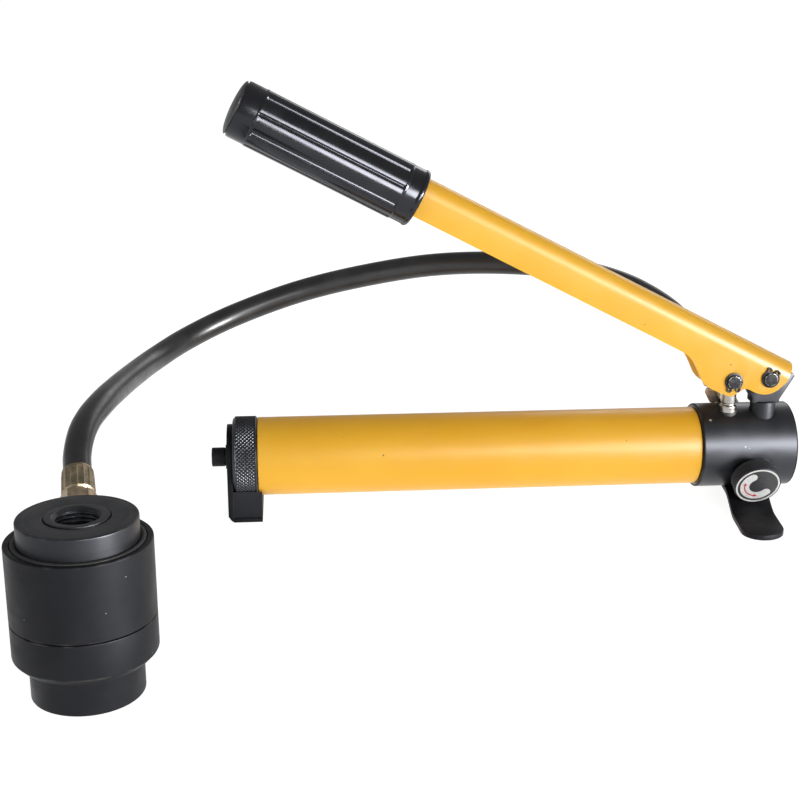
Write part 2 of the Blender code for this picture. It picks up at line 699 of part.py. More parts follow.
def fulcrum_post():
    """Post screwed into the head, with the fan-shaped lug the lever turns on."""
    post = turned("fulcrum_post", [(0, 45.6), (6.6, 45.6), (POST_R, 46.8), (POST_R, 65.4),
                                   (POST_R - 0.9, 66.4), (0, 66.4)],
                  (POST_X, LINK_Y, 0), (0, 0, 1), "black", MEDIUM)
    fan = [(-8.0, -17.4), (8.8, -17.4), (9.2, -15.0), (17.6, -0.6), (16.4, 1.4), (11.0, 2.0),
           (6.2, 5.6), (3.2, 7.7), (0.0, 8.3), (-3.2, 7.7), (-6.2, 5.6), (-11.6, 0.0),
           (-12.0, -7.0), (-8.0, -14.0)]
    lug = slab("lug", [(PIVOT_X + u, PIVOT_Z + v) for u, v in fan], lift_xz,
               LINK_Y - LUG_HALF, LINK_Y + LUG_HALF, "black")
    combine(post, [lug], "UNION")
    combine(post, [rod((PIVOT_X, LINK_Y - 20, PIVOT_Z), (0, 1, 0), PIN_HOLE_R, 40)], "DIFFERENCE")


def pump_plunger():
    """Plunger whose slotted eye follows the lever's pin."""
    pin_z = PIVOT_Z - PIN_DROP
    stem = turned("pump_plunger", [(0, 30.0), (PLUNGER_NECK_R, 30.0), (PLUNGER_R, 31.0), (PLUNGER_R, 63.6),
                                   (PLUNGER_NECK_R, 64.6), (PLUNGER_NECK_R, 76.0), (0, 76.0)],
                  (PLUNGER_X, LINK_Y, 0), (0, 0, 1), "steel", 24)
    eye = [(-7.5, -5.5), (-5.2, -7.6), (5.2, -7.6), (7.5, -5.5), (7.5, 4.0), (5.0, 6.2),
           (-5.0, 6.2), (-7.5, 4.0)]
    eye_block = slab("eye", [(PLUNGER_X + u, pin_z + v) for u, v in eye], lift_xz,
                     LINK_Y - LUG_HALF, LINK_Y + LUG_HALF, "steel")
    combine(stem, [eye_block], "UNION")
    slot_r, reach = SLOT_PIN_R + 0.4, 1.7
    slot = []
    for step in range(9):
        angle = -0.5 * math.pi + math.pi * step / 8
        slot.append((PLUNGER_X + reach + slot_r * math.cos(angle), pin_z + slot_r * math.sin(angle)))
    for step in range(9):
        angle = 0.5 * math.pi + math.pi * step / 8
        slot.append((PLUNGER_X - reach + slot_r * math.cos(angle), pin_z + slot_r * math.sin(angle)))
    combine(stem, [slab("cutter", slot, lift_xz, LINK_Y - 20, LINK_Y + 20, "steel")], "DIFFERENCE")
    stand_on(stem, PLUNGER_X, LINK_Y, pin_z)


# ---------------------------------------------------------------- hose and fittings
def smooth_route(route, first_tangent, last_tangent, pieces=5):
    """A smooth line through the route points (centripetal Catmull-Rom)."""
    points = [Vector(point) for point in route]
    points.insert(0, points[0] - first_tangent * 25.0)
    points.append(points[-1] + last_tangent * 25.0)
    line = []
    for i in range(1, len(points) - 2):
        p0, p1, p2, p3 = points[i - 1:i + 3]
        t1 = math.sqrt((p1 - p0).length)
        t2 = t1 + math.sqrt((p2 - p1).length)
        t3 = t2 + math.sqrt((p3 - p2).length)
        for step in range(pieces):
            t = t1 + (t2 - t1) * step / pieces
            a1 = p0 * ((t1 - t) / t1) + p1 * (t / t1)
            a2 = p1 * ((t2 - t) / (t2 - t1)) + p2 * ((t - t1) / (t2 - t1))
            a3 = p2 * ((t3 - t) / (t3 - t2)) + p3 * ((t - t2) / (t3 - t2))
            b1 = a1 * ((t2 - t) / t2) + a2 * (t / t2)
            b2 = a2 * ((t3 - t) / (t3 - t1)) + a3 * ((t - t1) / (t3 - t1))
            line.append(b1 * ((t2 - t) / (t2 - t1)) + b2 * ((t - t1) / (t2 - t1)))
    line.append(points[-2])
    return line


def ram_fitting_axis():
    """Direction of the ram's hose fitting, rising away from the ram."""
    flat = math.cos(PORT_RISE)
    return Vector((flat * math.cos(PORT_TURN), flat * math.sin(PORT_TURN), math.sin(PORT_RISE)))


def hose():
    ram_end, pump_end = Vector(HOSE_ROUTE[0]), Vector(HOSE_ROUTE[-1])
    rise = ram_fitting_axis()
    route = [ram_end + rise * STRAIGHT, *HOSE_ROUTE[1:-1], pump_end - PUMP_FITTING_AXIS * STRAIGHT]
    line = smooth_route(route, rise, PUMP_FITTING_AXIS)
    line.insert(0, ram_end + rise * GAP)
    line.append(pump_end - PUMP_FITTING_AXIS * GAP)
    tube_curve("hose", [spot(*point) for point in line], HOSE_R, "rubber", 2)


def hose_end(suffix, tip, axis):
    """Crimped ferrule and swivel nut; axis points from the hose into the fitting."""
    end = FERRULE_LEN
    ferrule = [(0, 0), (7.2, 0), (7.9, 1.2), (8.3, end - 2.4), (7.5, end - 1.0), (6.6, end), (0, end)]
    turned("ferrule_" + suffix, ferrule, tip, axis, "zinc", 16)
    start = end + GAP
    nut = [(0, start), (NUT_R - 1.6, start), (NUT_R, start + 1.3), (NUT_R, NUT_END - 1.0),
           (NUT_R - 1.2, NUT_END), (0, NUT_END)]
    turned("swivel_nut_" + suffix, nut, tip, axis, "zinc", 6, smooth_angle=10.0)


def fittings():
    tip = Vector(HOSE_ROUTE[-1])
    hose_end("pump", tip, PUMP_FITTING_AXIS)
    start = NUT_END + GAP
    adapter = [(0, start), (ADAPTER_R - 0.2, start), (ADAPTER_R, start + 0.7),
               (ADAPTER_R, ADAPTER_END - 1.0), (ADAPTER_R - 0.8, ADAPTER_END), (0, ADAPTER_END)]
    turned("outlet_adapter", adapter, tip, PUMP_FITTING_AXIS, "zinc", SMALL)
    tip = Vector(HOSE_ROUTE[0])
    rise = ram_fitting_axis()
    hose_end("ram", tip, -rise)
    elbow_turn = tip - rise * PORT_REACH
    level = Vector((math.cos(PORT_TURN), math.sin(PORT_TURN), 0.0))
    bend = 7.0
    path = [elbow_turn - level * 9.0, elbow_turn - level * bend]
    for step in range(1, 6):
        share = step / 6
        path.append((elbow_turn - level * bend) * (1 - share) ** 2
                    + elbow_turn * 2 * share * (1 - share)
                    + (elbow_turn + rise * bend) * share ** 2)
    path += [elbow_turn + rise * bend, tip - rise * (NUT_END + GAP)]
    tube_curve("ram_elbow", [spot(*point) for point in path], ELBOW_R, "zinc", 4)


# ---------------------------------------------------------------- hollow ram
def ram():
    up = (0, 0, 1)
    base = (RAM_X, RAM_Y, 0.0)
    body_low = RAM_SEAM_Z + GAP
    cylinder = [(RAM_BORE_R, body_low), (RAM_R - 0.5, body_low), (RAM_R, body_low + 0.5),
                (RAM_R, RAM_TOP_Z - 1.4), (RAM_R - 1.2, RAM_TOP_Z), (30.4, RAM_TOP_Z),
                (30.4, RAM_TOP_Z - 2.6), (RAM_BORE_R, RAM_TOP_Z - 2.6)]
    body = turned("ram_cylinder", cylinder, base, up, "black", FINE)
    level = Vector((math.cos(PORT_TURN), math.sin(PORT_TURN), 0.0))
    port = Vector((RAM_X, RAM_Y, PORT_Z))
    cutters = [rod(port + level * 29.6, level, ELBOW_R + 0.4, 12),
               rod(port + level * 24, level, 1.6, 9, 12)]
    combine(body, cutters, "DIFFERENCE")
    lower = [(SLEEVE_BORE_R, 0), (RAM_BASE_R - 0.8, 0), (RAM_BASE_R, 0.8),
             (RAM_BASE_R, RAM_STEP_Z), (RAM_R - 3.6, RAM_STEP_Z), (RAM_R - 1.2, RAM_STEP_Z + 1.4),
             (RAM_R, RAM_STEP_Z + 4.2), (RAM_R, RAM_SEAM_Z - 0.5), (RAM_R - 0.5, RAM_SEAM_Z),
             (RAM_BORE_R - GAP, RAM_SEAM_Z), (RAM_BORE_R - GAP, 42.6), (SLEEVE_OUT_R, 42.6),
             (SLEEVE_OUT_R, 74.6), (SLEEVE_BORE_R, 74.6)]
    turned("ram_base", lower, base, up, "black", FINE)
    turned("wiper_ring", [(PISTON_R + GAP, 72.8), (30.1, 72.8), (30.1, 75.3), (PISTON_R + GAP, 75.6)],
           base, up, "rubber", FINE)
    turned("sleeve_nut", [(SLEEVE_BORE_R, 74.9), (17.2, 74.9), (17.2, 77.4), (SLEEVE_BORE_R, 77.4)],
           base, up, "dark_steel", SMALL)
    piston = [(13.8, 42.9), (PISTON_R - 0.8, 42.9), (PISTON_R, 43.7), (PISTON_R, 46.0),
              (25.0, 46.0), (25.0, 49.0), (PISTON_R, 49.0), (PISTON_R, PISTON_TOP_Z - 1.0),
              (PISTON_R - 1.0, PISTON_TOP_Z), (INSERT_R + GAP, PISTON_TOP_Z),
              (INSERT_R + GAP, 78.0), (18.0, 78.0), (18.0, 47.5), (13.8, 47.5)]
    pieces = [turned("ram_piston", piston, base, up, "black", FINE)]
    ring = [(25.3, 46.3), (27.7, 46.3), (27.4, 48.7), (25.3, 48.7)]
    pieces.append(turned("piston_seal", ring, base, up, "rubber", MEDIUM))
    insert = [(INSERT_BORE_R, 78.4), (INSERT_R, 78.4), (INSERT_R, PISTON_TOP_Z + 0.2),
              (INSERT_R - 0.4, PISTON_TOP_Z + 0.5), (INSERT_BORE_R + 1.2, PISTON_TOP_Z + 0.5),
              (INSERT_BORE_R, PISTON_TOP_Z - 0.8)]
    pieces.append(turned("draw_insert", insert, base, up, "dark_steel", MEDIUM))
    for piece in pieces:
        stand_on(piece, RAM_X, RAM_Y, 0.0)
    coil("return_spring", Vector(base), Vector(up), 15.8, 1.1, 49.0, 73.5, 3, 16)


def build():
    clear_scene()
    reservoir_tube()
    rear_cap()
    rear_foot()
    filler_plug()
    pump_head()
    check_valves()
    front_foot()
    release_valve()
    lever()
    grip()
    clipped_pin("pivot", PIVOT_X, PIVOT_Z, PIN_R, math.radians(70))
    clipped_pin("plunger", PIVOT_X - PIN_ARM, PIVOT_Z - PIN_DROP, SLOT_PIN_R, math.radians(-90))
    fulcrum_post()
    pump_plunger()
    hose()
    fittings()
    ram()


build()
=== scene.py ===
"""Looks of the hydraulic hand pump, its hose and its hollow ram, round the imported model.

Lengths are millimetres in the pump's own frame, as in the CAD source, and spot() turns them into
metres of the shared frame. X runs along the reservoir to the head, Y to the hose side, Z up.
"""
from math import cos, exp, pi, radians, sin, sqrt

import bmesh
import bpy
from mathutils import Matrix, Vector


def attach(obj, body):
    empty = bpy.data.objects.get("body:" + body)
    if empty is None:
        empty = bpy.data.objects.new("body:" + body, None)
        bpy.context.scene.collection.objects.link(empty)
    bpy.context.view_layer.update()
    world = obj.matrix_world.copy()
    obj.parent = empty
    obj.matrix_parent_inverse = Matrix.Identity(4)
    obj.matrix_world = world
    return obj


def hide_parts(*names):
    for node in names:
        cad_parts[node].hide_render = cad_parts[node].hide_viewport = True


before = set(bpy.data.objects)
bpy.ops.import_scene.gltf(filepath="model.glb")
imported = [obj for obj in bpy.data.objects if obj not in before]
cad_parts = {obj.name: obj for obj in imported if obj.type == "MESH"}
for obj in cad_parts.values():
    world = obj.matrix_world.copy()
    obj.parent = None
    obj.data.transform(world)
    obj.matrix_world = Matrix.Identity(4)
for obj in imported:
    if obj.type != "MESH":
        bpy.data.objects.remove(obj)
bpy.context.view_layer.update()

MM = 0.001
GAP = 0.3
FRAME_SHIFT_X = 24.9
FRAME_SHIFT_Y = 90.55

# Pump body
AXIS_Z = 35.2
TUBE_R = 23.8
TUBE_BORE_R = 21.0
TUBE_HALF = 135.0
HEAD_R = 26.0
HEAD_START_X = TUBE_HALF + GAP
HEAD_END_X = 194.0
HEAD_FLAT_Z = 11.0
FOOT_X = 168.2
FOOT_SKEW = 0.095
FOOT_REACH = 73.0
FOOT_HALF_WIDTH = 12.8
FOOT_THICK = 3.0
FOOT_ROOT = 12.0
FOOT_LANDS = 40.0
FOOT_SCREW_XS = (163.6, 175.0)
SPIGOT_R = TUBE_BORE_R - GAP
CAP_R = 24.6
CAP_END_X = -150.0

# Lever, fulcrum post and plunger
LINK_Y = -8.0
PIVOT_X = 175.0
PIVOT_Z = 82.8
LEVER_ANGLE = radians(27.2)
PIN_ARM = 22.5
PIN_DROP = 1.4
PIN_R = 4.1
PIN_HOLE_R = 4.4
PIN_HALF = 13.8
SLOT_PIN_R = 3.2
CLIP_THICK = 1.0
LEVER_HALF_WIDTH = 11.0
LEVER_WALL = 3.0
LEVER_TOP = 13.6
LEVER_ARCH_R = 10.0
GRIP_R = 17.4
GRIP_BORE_R = 14.5
GRIP_NEAR = 240.0
GRIP_FAR = 355.5
GRIP_DOME = 3.4
GRIP_RIBS = 9
GRIP_TURN = radians(3.1)
GRIP_CROWN = 0.55
GROOVE_HALF = 1.25
GROOVE_DEPTH = 0.85
RIBS_NEAR = GRIP_NEAR + 11.0
RIBS_FAR = GRIP_FAR - 12.0
POST_X = 175.5
POST_R = 7.7
LUG_HALF = 5.0
PLUNGER_X = 153.8
PLUNGER_R = 5.2
PLUNGER_NECK_R = 4.6

# Release valve
KNOB_X = 167.0
KNOB_TILT = radians(24.0)
KNOB_R = 14.3
KNOB_NEAR = 27.6
KNOB_FACE = 38.2
SPINDLE_R = 3.5
VALVE_SEAT = 16.5

# Ram
RAM_X = -210.4
RAM_Y = -220.7
RAM_R = 33.4
RAM_SEAM_Z = 38.2
RAM_TOP_Z = 75.1
RAM_BORE_R = 28.0
RAM_BASE_R = 26.2
RAM_STEP_Z = 17.8
PISTON_R = 27.5
PISTON_TOP_Z = 85.7
SLEEVE_OUT_R = 13.5
SLEEVE_BORE_R = 10.3
INSERT_R = 14.7
INSERT_BORE_R = 9.75
INSERT_LOW_Z = 78.4
WIPER_SEAT_R = 30.4
THREAD_PITCH = 2.0
PORT_Z = 58.3
PORT_TURN = radians(98.0)
PORT_RISE = radians(30.0)
PORT_REACH = 43.4
PORT_FLOOR = 29.6
ELBOW_R = 5.6

# Hose
HOSE_R = 7.1
STRAIGHT = 8.0
CRIMPS = 16
CRIMP_APOTHEM = 0.965
CRIMP_RIDGE = 0.26
FERRULE_END = 16.6
NUT_START = 16.9
NUT_R = 10.0
NUT_END = 26.4
FITTING_START = 26.7
OUTLET_MOUTH = 29.0
HOSE_ROUTE = (
    (-221.0, -145.0, 80.0),
    (-221.5, -123.5, 91.5),
    (-219.5, -109.5, 95.5),
    (-215.0, -88.0, 98.0),
    (-210.0, -58.0, 97.5),
    (-204.5, -24.0, 95.5),
    (-196.0, 9.5, 95.0),
    (-178.5, 38.0, 100.0),
    (-152.0, 56.0, 109.0),
    (-109.5, 64.5, 122.5),
    (-65.5, 63.5, 133.0),
    (-20.5, 60.0, 140.0),
    (24.5, 54.0, 141.5),
    (58.0, 48.5, 139.0),
    (90.5, 41.5, 132.0),
    (110.5, 36.0, 123.5),
    (128.5, 30.0, 111.0),
    (147.3, 21.5, 84.4),
)
PUMP_FITTING_AXIS = Vector((0.43, -0.25, -0.865)).normalized()

ALONG_X = Vector((1.0, 0.0, 0.0))
ALONG_Y = Vector((0.0, 1.0, 0.0))
UP = Vector((0.0, 0.0, 1.0))
ROUND = 128
SMALL_ROUND = 64


# ---- places
def spot(x, y, z):
    """A point of the pump frame, in metres of the shared frame."""
    return Vector((x + FRAME_SHIFT_X, y + FRAME_SHIFT_Y, z)) * MM


def frame_at(origin, axis):
    """The placement whose local Z runs along axis from origin (pump frame)."""
    turn = Vector(axis).normalized().to_track_quat("Z", "Y").to_matrix().to_4x4()
    return Matrix.Translation(spot(*origin)) @ turn


def knob_axis():
    """Direction from the pump axis out through the release knob."""
    return Vector((0.0, -cos(KNOB_TILT), -sin(KNOB_TILT)))


def port_direction():
    """Level direction from the ram's axis out through its port."""
    return Vector((cos(PORT_TURN), sin(PORT_TURN), 0.0))


def ram_fitting_axis():
    """Direction of the ram's hose fitting, rising away from the ram."""
    flat = cos(PORT_RISE)
    return Vector((flat * cos(PORT_TURN), flat * sin(PORT_TURN), sin(PORT_RISE)))


def lever_point(along, above, across):
    """A point of the lever: along its length from the pivot, above the pivot line, across."""
    cos_a, sin_a = cos(LEVER_ANGLE), sin(LEVER_ANGLE)
    x = PIVOT_X + along * cos_a + above * sin_a
    z = PIVOT_Z - along * sin_a + above * cos_a
    return spot(x, LINK_Y + across, z)


def lever_frame():
    """Placement whose local Z runs from the pivot along the lever out to the grip's end."""
    above = Vector((sin(LEVER_ANGLE), 0.0, cos(LEVER_ANGLE)))
    turn = Matrix((above, ALONG_Y, above.cross(ALONG_Y))).transposed().to_4x4()
    return Matrix.Translation(spot(PIVOT_X, LINK_Y, PIVOT_Z)) @ turn


# ---- camera
def camera():
    """The camera that takes the photograph's view."""
    data = bpy.data.cameras.new("camera")
    data.sensor_width = 36.0
    data.lens = 63.0
    data.clip_start = 0.01
    eye = bpy.data.objects.new("camera", data)
    bpy.context.collection.objects.link(eye)
    eye.location = (-0.0877, -0.72225, 0.3181)
    eye.rotation_euler = (radians(73.0), 0.0, radians(-4.53))
    bpy.context.scene.camera = eye


# ---- materials
RAGGED = 0.35


class Look:
    """One node material; every pattern is laid in object space, in metres."""

    def __init__(self, name, roughness=0.4, metallic=0.0):
        self.material = bpy.data.materials.new(name)
        self.material.use_nodes = True
        self.tree = self.material.node_tree
        self.shader = self.tree.nodes["Principled BSDF"]
        self.set("Roughness", roughness)
        self.set("Metallic", metallic)
        self.place = self.node("ShaderNodeTexCoord", {}).outputs["Object"]

    def node(self, kind, inputs, **settings):
        """Add a node; inputs maps its sockets to values or to other nodes' outputs."""
        made = self.tree.nodes.new(kind)
        for name, value in settings.items():
            setattr(made, name, value)
        for socket, value in inputs.items():
            self.feed(made.inputs[socket], value)
        return made

    def feed(self, target, value):
        """Put a value or another node's output into a socket."""
        if isinstance(value, bpy.types.NodeSocket):
            self.tree.links.new(value, target)
        else:
            target.default_value = value

    def set(self, socket, value):
        self.feed(self.shader.inputs[socket], value)

    def maths(self, operation, first, second=0.0):
        return self.node("ShaderNodeMath", {0: first, 1: second}, operation=operation).outputs[0]

    def vector_maths(self, operation, first, second=(0.0, 0.0, 0.0)):
        made = self.node("ShaderNodeVectorMath", {0: first, 1: second}, operation=operation)
        return made.outputs["Vector" if operation == "SUBTRACT" else "Value"]

    def spread(self, value, low, high, to_low=0.0, to_high=1.0):
        """Carry a value from one range to another, held at both ends."""
        inputs = {"Value": value, "From Min": low, "From Max": high, "To Min": to_low, "To Max": to_high}
        return self.node("ShaderNodeMapRange", inputs).outputs["Result"]

    def stretched(self, scale):
        return self.node("ShaderNodeMapping", {"Vector": self.place, "Scale": scale}).outputs["Vector"]

    def noise(self, scale, detail, vector=None):
        """Cloudy noise of scale features per metre, about 0.3 to 0.7."""
        inputs = {"Vector": vector or self.place, "Scale": scale, "Detail": detail}
        return self.node("ShaderNodeTexNoise", inputs).outputs[0]

    def clouds(self, scale, detail, low, high, to_low=0.0, to_high=1.0):
        """Cloudy noise carried from its range low to high to a range of its own."""
        return self.spread(self.noise(scale, detail), low, high, to_low, to_high)

    def turning(self, origin, axis, lines):
        """Fine lathe lines: they run round the axis on walls and make rings on faces."""
        centred = self.vector_maths("SUBTRACT", self.place, spot(*origin))
        height = self.vector_maths("DOT_PRODUCT", centred, Vector(axis).normalized())
        whole = self.vector_maths("LENGTH", centred)
        squares = self.maths("SUBTRACT", self.maths("POWER", whole, 2.0),
                             self.maths("POWER", self.maths("ABSOLUTE", height), 2.0))
        radius = self.maths("SQRT", self.maths("MAXIMUM", squares, 0.0))
        joined = self.node("ShaderNodeCombineXYZ", {0: height, 1: radius})
        return self.noise(lines, 2.0, joined.outputs[0])

    def specks(self, cells, share, size):
        """Sparse round specks: cells per metre, share of cells that hold one, radius in cells."""
        made = self.node("ShaderNodeTexVoronoi", {"Vector": self.place, "Scale": cells})
        pick = self.node("ShaderNodeSeparateColor", {0: made.outputs["Color"]})
        chosen = self.maths("GREATER_THAN", pick.outputs[0], 1.0 - share)
        reach = self.maths("MULTIPLY", pick.outputs[1], size)
        near = self.maths("LESS_THAN", made.outputs["Distance"], reach)
        return self.maths("MULTIPLY", chosen, near)

    def mark(self, x, y, z, radius):
        """One small ragged mark at a place on the part, such as a paint chip."""
        apart = self.vector_maths("DISTANCE", self.place, spot(x, y, z))
        shake = self.clouds(2600.0, 2.0, 0.3, 0.7, 1.0 - RAGGED, 1.0 + RAGGED)
        return self.maths("LESS_THAN", apart, self.maths("MULTIPLY", shake, radius * MM))

    def tint(self, share, first, second):
        """Blend two colours (or colour outputs) by a mask."""
        first, second = [colour if isinstance(colour, bpy.types.NodeSocket) else (*colour, 1.0)
                         for colour in (first, second)]
        inputs = {"Factor": share, 6: first, 7: second}
        return self.node("ShaderNodeMix", inputs, data_type="RGBA").outputs[2]

    def colour(self, source):
        self.set("Base Color", source)

    def roughness(self, source):
        self.set("Roughness", source)

    def bump(self, height, depth_mm):
        """Add relief below the last one; height runs 0 to 1 over depth_mm."""
        inputs = {"Strength": 1.0, "Distance": depth_mm * MM, "Height": height}
        normal = self.shader.inputs["Normal"]
        if normal.is_linked:
            inputs["Normal"] = normal.links[0].from_socket
        self.feed(normal, self.node("ShaderNodeBump", inputs).outputs[0])


YELLOW = (0.805, 0.430, 0.025)
YELLOW_DEEP = (0.770, 0.388, 0.018)
PRIMER = (0.035, 0.028, 0.022)


def yellow_paint(name, chips=(), worn_edge=False):
    """Gloss enamel with a slight orange peel, soft tone changes and a few small chips."""
    look = Look(name)
    look.set("Specular IOR Level", 0.32)
    look.set("Coat Weight", 0.12)
    look.set("Coat Roughness", 0.33)
    tone = look.clouds(16.0, 4.0, 0.32, 0.68)
    base = look.tint(tone, YELLOW, YELLOW_DEEP)
    look.roughness(look.clouds(130.0, 5.0, 0.42, 0.66, 0.34, 0.44))
    base = look.tint(look.specks(170.0, 0.035, 0.10), base, (0.30, 0.15, 0.03))
    for chip in chips:
        base = look.tint(look.mark(*chip), base, PRIMER)
    if worn_edge:
        thin = look.clouds(260.0, 5.0, 0.50, 0.62, 0.0, 0.75)
        base = look.tint(thin, base, (0.50, 0.22, 0.02))
        bare = look.clouds(700.0, 3.0, 0.68, 0.70)
        base = look.tint(bare, base, PRIMER)
    look.colour(base)
    look.bump(look.noise(1100.0, 2.0), 0.012)
    look.bump(look.noise(90.0, 2.0), 0.05)
    return look.material


# Black finish, and the bluish reflection it and the grip have
BLACK = (0.0048, 0.0048, 0.0056)
BLACK_PALE = (0.0090, 0.0090, 0.0104)
BLUED = (0.87, 0.90, 1.0, 1.0)


def black_satin(name, origin, axis, gloss, chips=(), worn_edge=False):
    """Oiled black finish over turned steel: faint lathe lines, rubbed patches and dust."""
    look = Look(name)
    look.set("Specular IOR Level", 0.175 + 2.0 * gloss)
    look.set("Specular Tint", BLUED)
    patches = look.clouds(45.0, 5.0, 0.35, 0.68)
    base = look.tint(patches, BLACK, BLACK_PALE)
    base = look.tint(look.specks(240.0, 0.05, 0.085), base, (0.16, 0.16, 0.15))
    for chip in chips:
        base = look.tint(look.mark(*chip), base, (0.42, 0.42, 0.40))
    if worn_edge:
        bare = look.clouds(95.0, 4.0, 0.50, 0.70, 0.0, 0.55)
        base = look.tint(bare, base, (0.085, 0.080, 0.074))
    look.colour(base)
    lines = look.turning(origin, axis, 1500.0)
    polish = 0.6 * gloss
    look.roughness(look.maths("MULTIPLY", look.clouds(70.0, 4.0, 0.3, 0.7, 0.85, 1.15),
                              look.spread(lines, 0.3, 0.7, 0.46 - polish, 0.54 - polish)))
    look.bump(lines, 0.004)
    look.bump(look.noise(900.0, 3.0), 0.004)
    return look.material


def black_looks(name, origin, axis, gloss=0.0, edge_gloss=0.0, chips=()):
    """The black finish of a piece and the rubbed finish of its edges."""
    return (black_satin(name, origin, axis, gloss, chips),
            black_satin(name + "_edge", origin, axis, edge_gloss, worn_edge=True))


def grip_plastic():
    """Glossy moulded plastic with a fine flow texture and finger marks."""
    look = Look("plastic_grip")
    look.set("Specular IOR Level", 0.43)
    look.set("Specular Tint", BLUED)
    look.colour(look.tint(look.clouds(60.0, 3.0, 0.3, 0.7), (0.006, 0.006, 0.007), (0.013, 0.013, 0.015)))
    look.roughness(look.clouds(85.0, 6.0, 0.46, 0.66, 0.15, 0.20))
    look.bump(look.noise(700.0, 2.0), 0.001)
    return look.material


def disc_plastic():
    """Dull moulded plastic of the grip's end disc."""
    look = Look("plastic_disc")
    look.set("Specular IOR Level", 0.5)
    patches = look.clouds(130.0, 4.0, 0.35, 0.68)
    look.colour(look.tint(patches, (0.020, 0.020, 0.022), (0.045, 0.045, 0.047)))
    look.roughness(look.clouds(240.0, 4.0, 0.3, 0.7, 0.34, 0.52))
    look.bump(look.noise(1400.0, 3.0), 0.02)
    return look.material


def hose_rubber():
    """Smooth black cover with a faint wrapped-cloth imprint and a dusty bloom."""
    look = Look("hose_rubber")
    look.set("Specular IOR Level", 0.40)
    bloom = look.clouds(55.0, 5.0, 0.40, 0.70)
    base = look.tint(bloom, (0.016, 0.016, 0.017), (0.027, 0.027, 0.028))
    base = look.tint(look.specks(330.0, 0.05, 0.10), base, (0.16, 0.155, 0.145))
    look.colour(base)
    look.roughness(look.clouds(240.0, 4.0, 0.3, 0.7, 0.28, 0.37))
    look.bump(look.noise(1700.0, 3.0), 0.012)
    look.bump(look.noise(900.0, 2.0, look.stretched((1.0, 0.15, 0.15))), 0.012)
    return look.material


def seal_rubber(name):
    """Plain moulded seal."""
    look = Look(name)
    look.colour(look.tint(look.clouds(200.0, 3.0, 0.3, 0.7), (0.010, 0.010, 0.010),
                          (0.022, 0.022, 0.022)))
    look.roughness(look.clouds(500.0, 3.0, 0.3, 0.7, 0.55, 0.75))
    look.bump(look.noise(2200.0, 2.0), 0.01)
    return look.material


def ground_steel(name, origin, axis):
    """Bright ground rod with fine rings and an oily film."""
    look = Look(name, metallic=1.0)
    lines = look.turning(origin, axis, 2600.0)
    film = look.clouds(220.0, 5.0, 0.42, 0.66)
    base = look.tint(lines, (0.33, 0.32, 0.30), (0.54, 0.53, 0.51))
    look.colour(look.tint(look.maths("MULTIPLY", film, 0.55), base, (0.22, 0.19, 0.15)))
    look.roughness(look.spread(lines, 0.3, 0.7, 0.16, 0.32))
    look.bump(lines, 0.010)
    return look.material


def dark_steel(name, origin=(PIVOT_X, LINK_Y, PIVOT_Z), axis=ALONG_Y, worn_edge=False):
    """Blackened steel pins, clips and screws with rubbed spots."""
    look = Look(name, metallic=0.75)
    rubbed = look.clouds(420.0, 5.0, 0.50, 0.72, 0.0, 0.6)
    base = look.tint(rubbed, (0.018, 0.018, 0.020), (0.070, 0.068, 0.065))
    if worn_edge:
        base = look.tint(look.clouds(800.0, 3.0, 0.45, 0.58), base, (0.30, 0.29, 0.27))
    look.colour(base)
    lines = look.turning(origin, axis, 2200.0)
    look.roughness(look.clouds(520.0, 4.0, 0.3, 0.7, 0.30, 0.48))
    look.bump(lines, 0.008)
    return look.material


def yellow_zinc(name, warm=0.0):
    """Yellow-passivated zinc: olive and pinkish gold clouds, dulled by handling."""
    look = Look(name, metallic=1.0)
    cloud = look.clouds(150.0, 5.0, 0.38, 0.64)
    base = look.tint(cloud, (0.235 + warm, 0.200 + warm * 0.72, 0.130 + warm * 0.55),
                     (0.350 + warm, 0.270 + warm * 0.62, 0.185 + warm * 0.50))
    dirt = look.clouds(480.0, 6.0, 0.56, 0.74, 0.0, 0.7)
    look.colour(look.tint(dirt, base, (0.10, 0.085, 0.06)))
    look.roughness(look.clouds(300.0, 4.0, 0.3, 0.7, 0.27, 0.46))
    look.bump(look.noise(1500.0, 3.0), 0.012)
    return look.material


def brass():
    """Machined brass inside the pump."""
    look = Look("brass_inner", metallic=1.0)
    look.colour(look.tint(look.clouds(300.0, 4.0, 0.35, 0.65), (0.60, 0.42, 0.17),
                          (0.72, 0.54, 0.26)))
    look.roughness(look.clouds(700.0, 3.0, 0.3, 0.7, 0.25, 0.42))
    look.bump(look.noise(2500.0, 2.0), 0.01)
    return look.material


def print_ink(name, colour, dull):
    """Printed label colour with slight unevenness and rubbed pinholes."""
    look = Look(name)
    base = look.tint(look.clouds(500.0, 4.0, 0.3, 0.7, 0.0, 0.5), colour, dull)
    look.colour(look.tint(look.specks(900.0, 0.06, 0.25), base, dull))
    look.roughness(look.clouds(300.0, 3.0, 0.3, 0.7, 0.30, 0.45))
    look.bump(look.noise(1800.0, 2.0), 0.006)
    return look.material


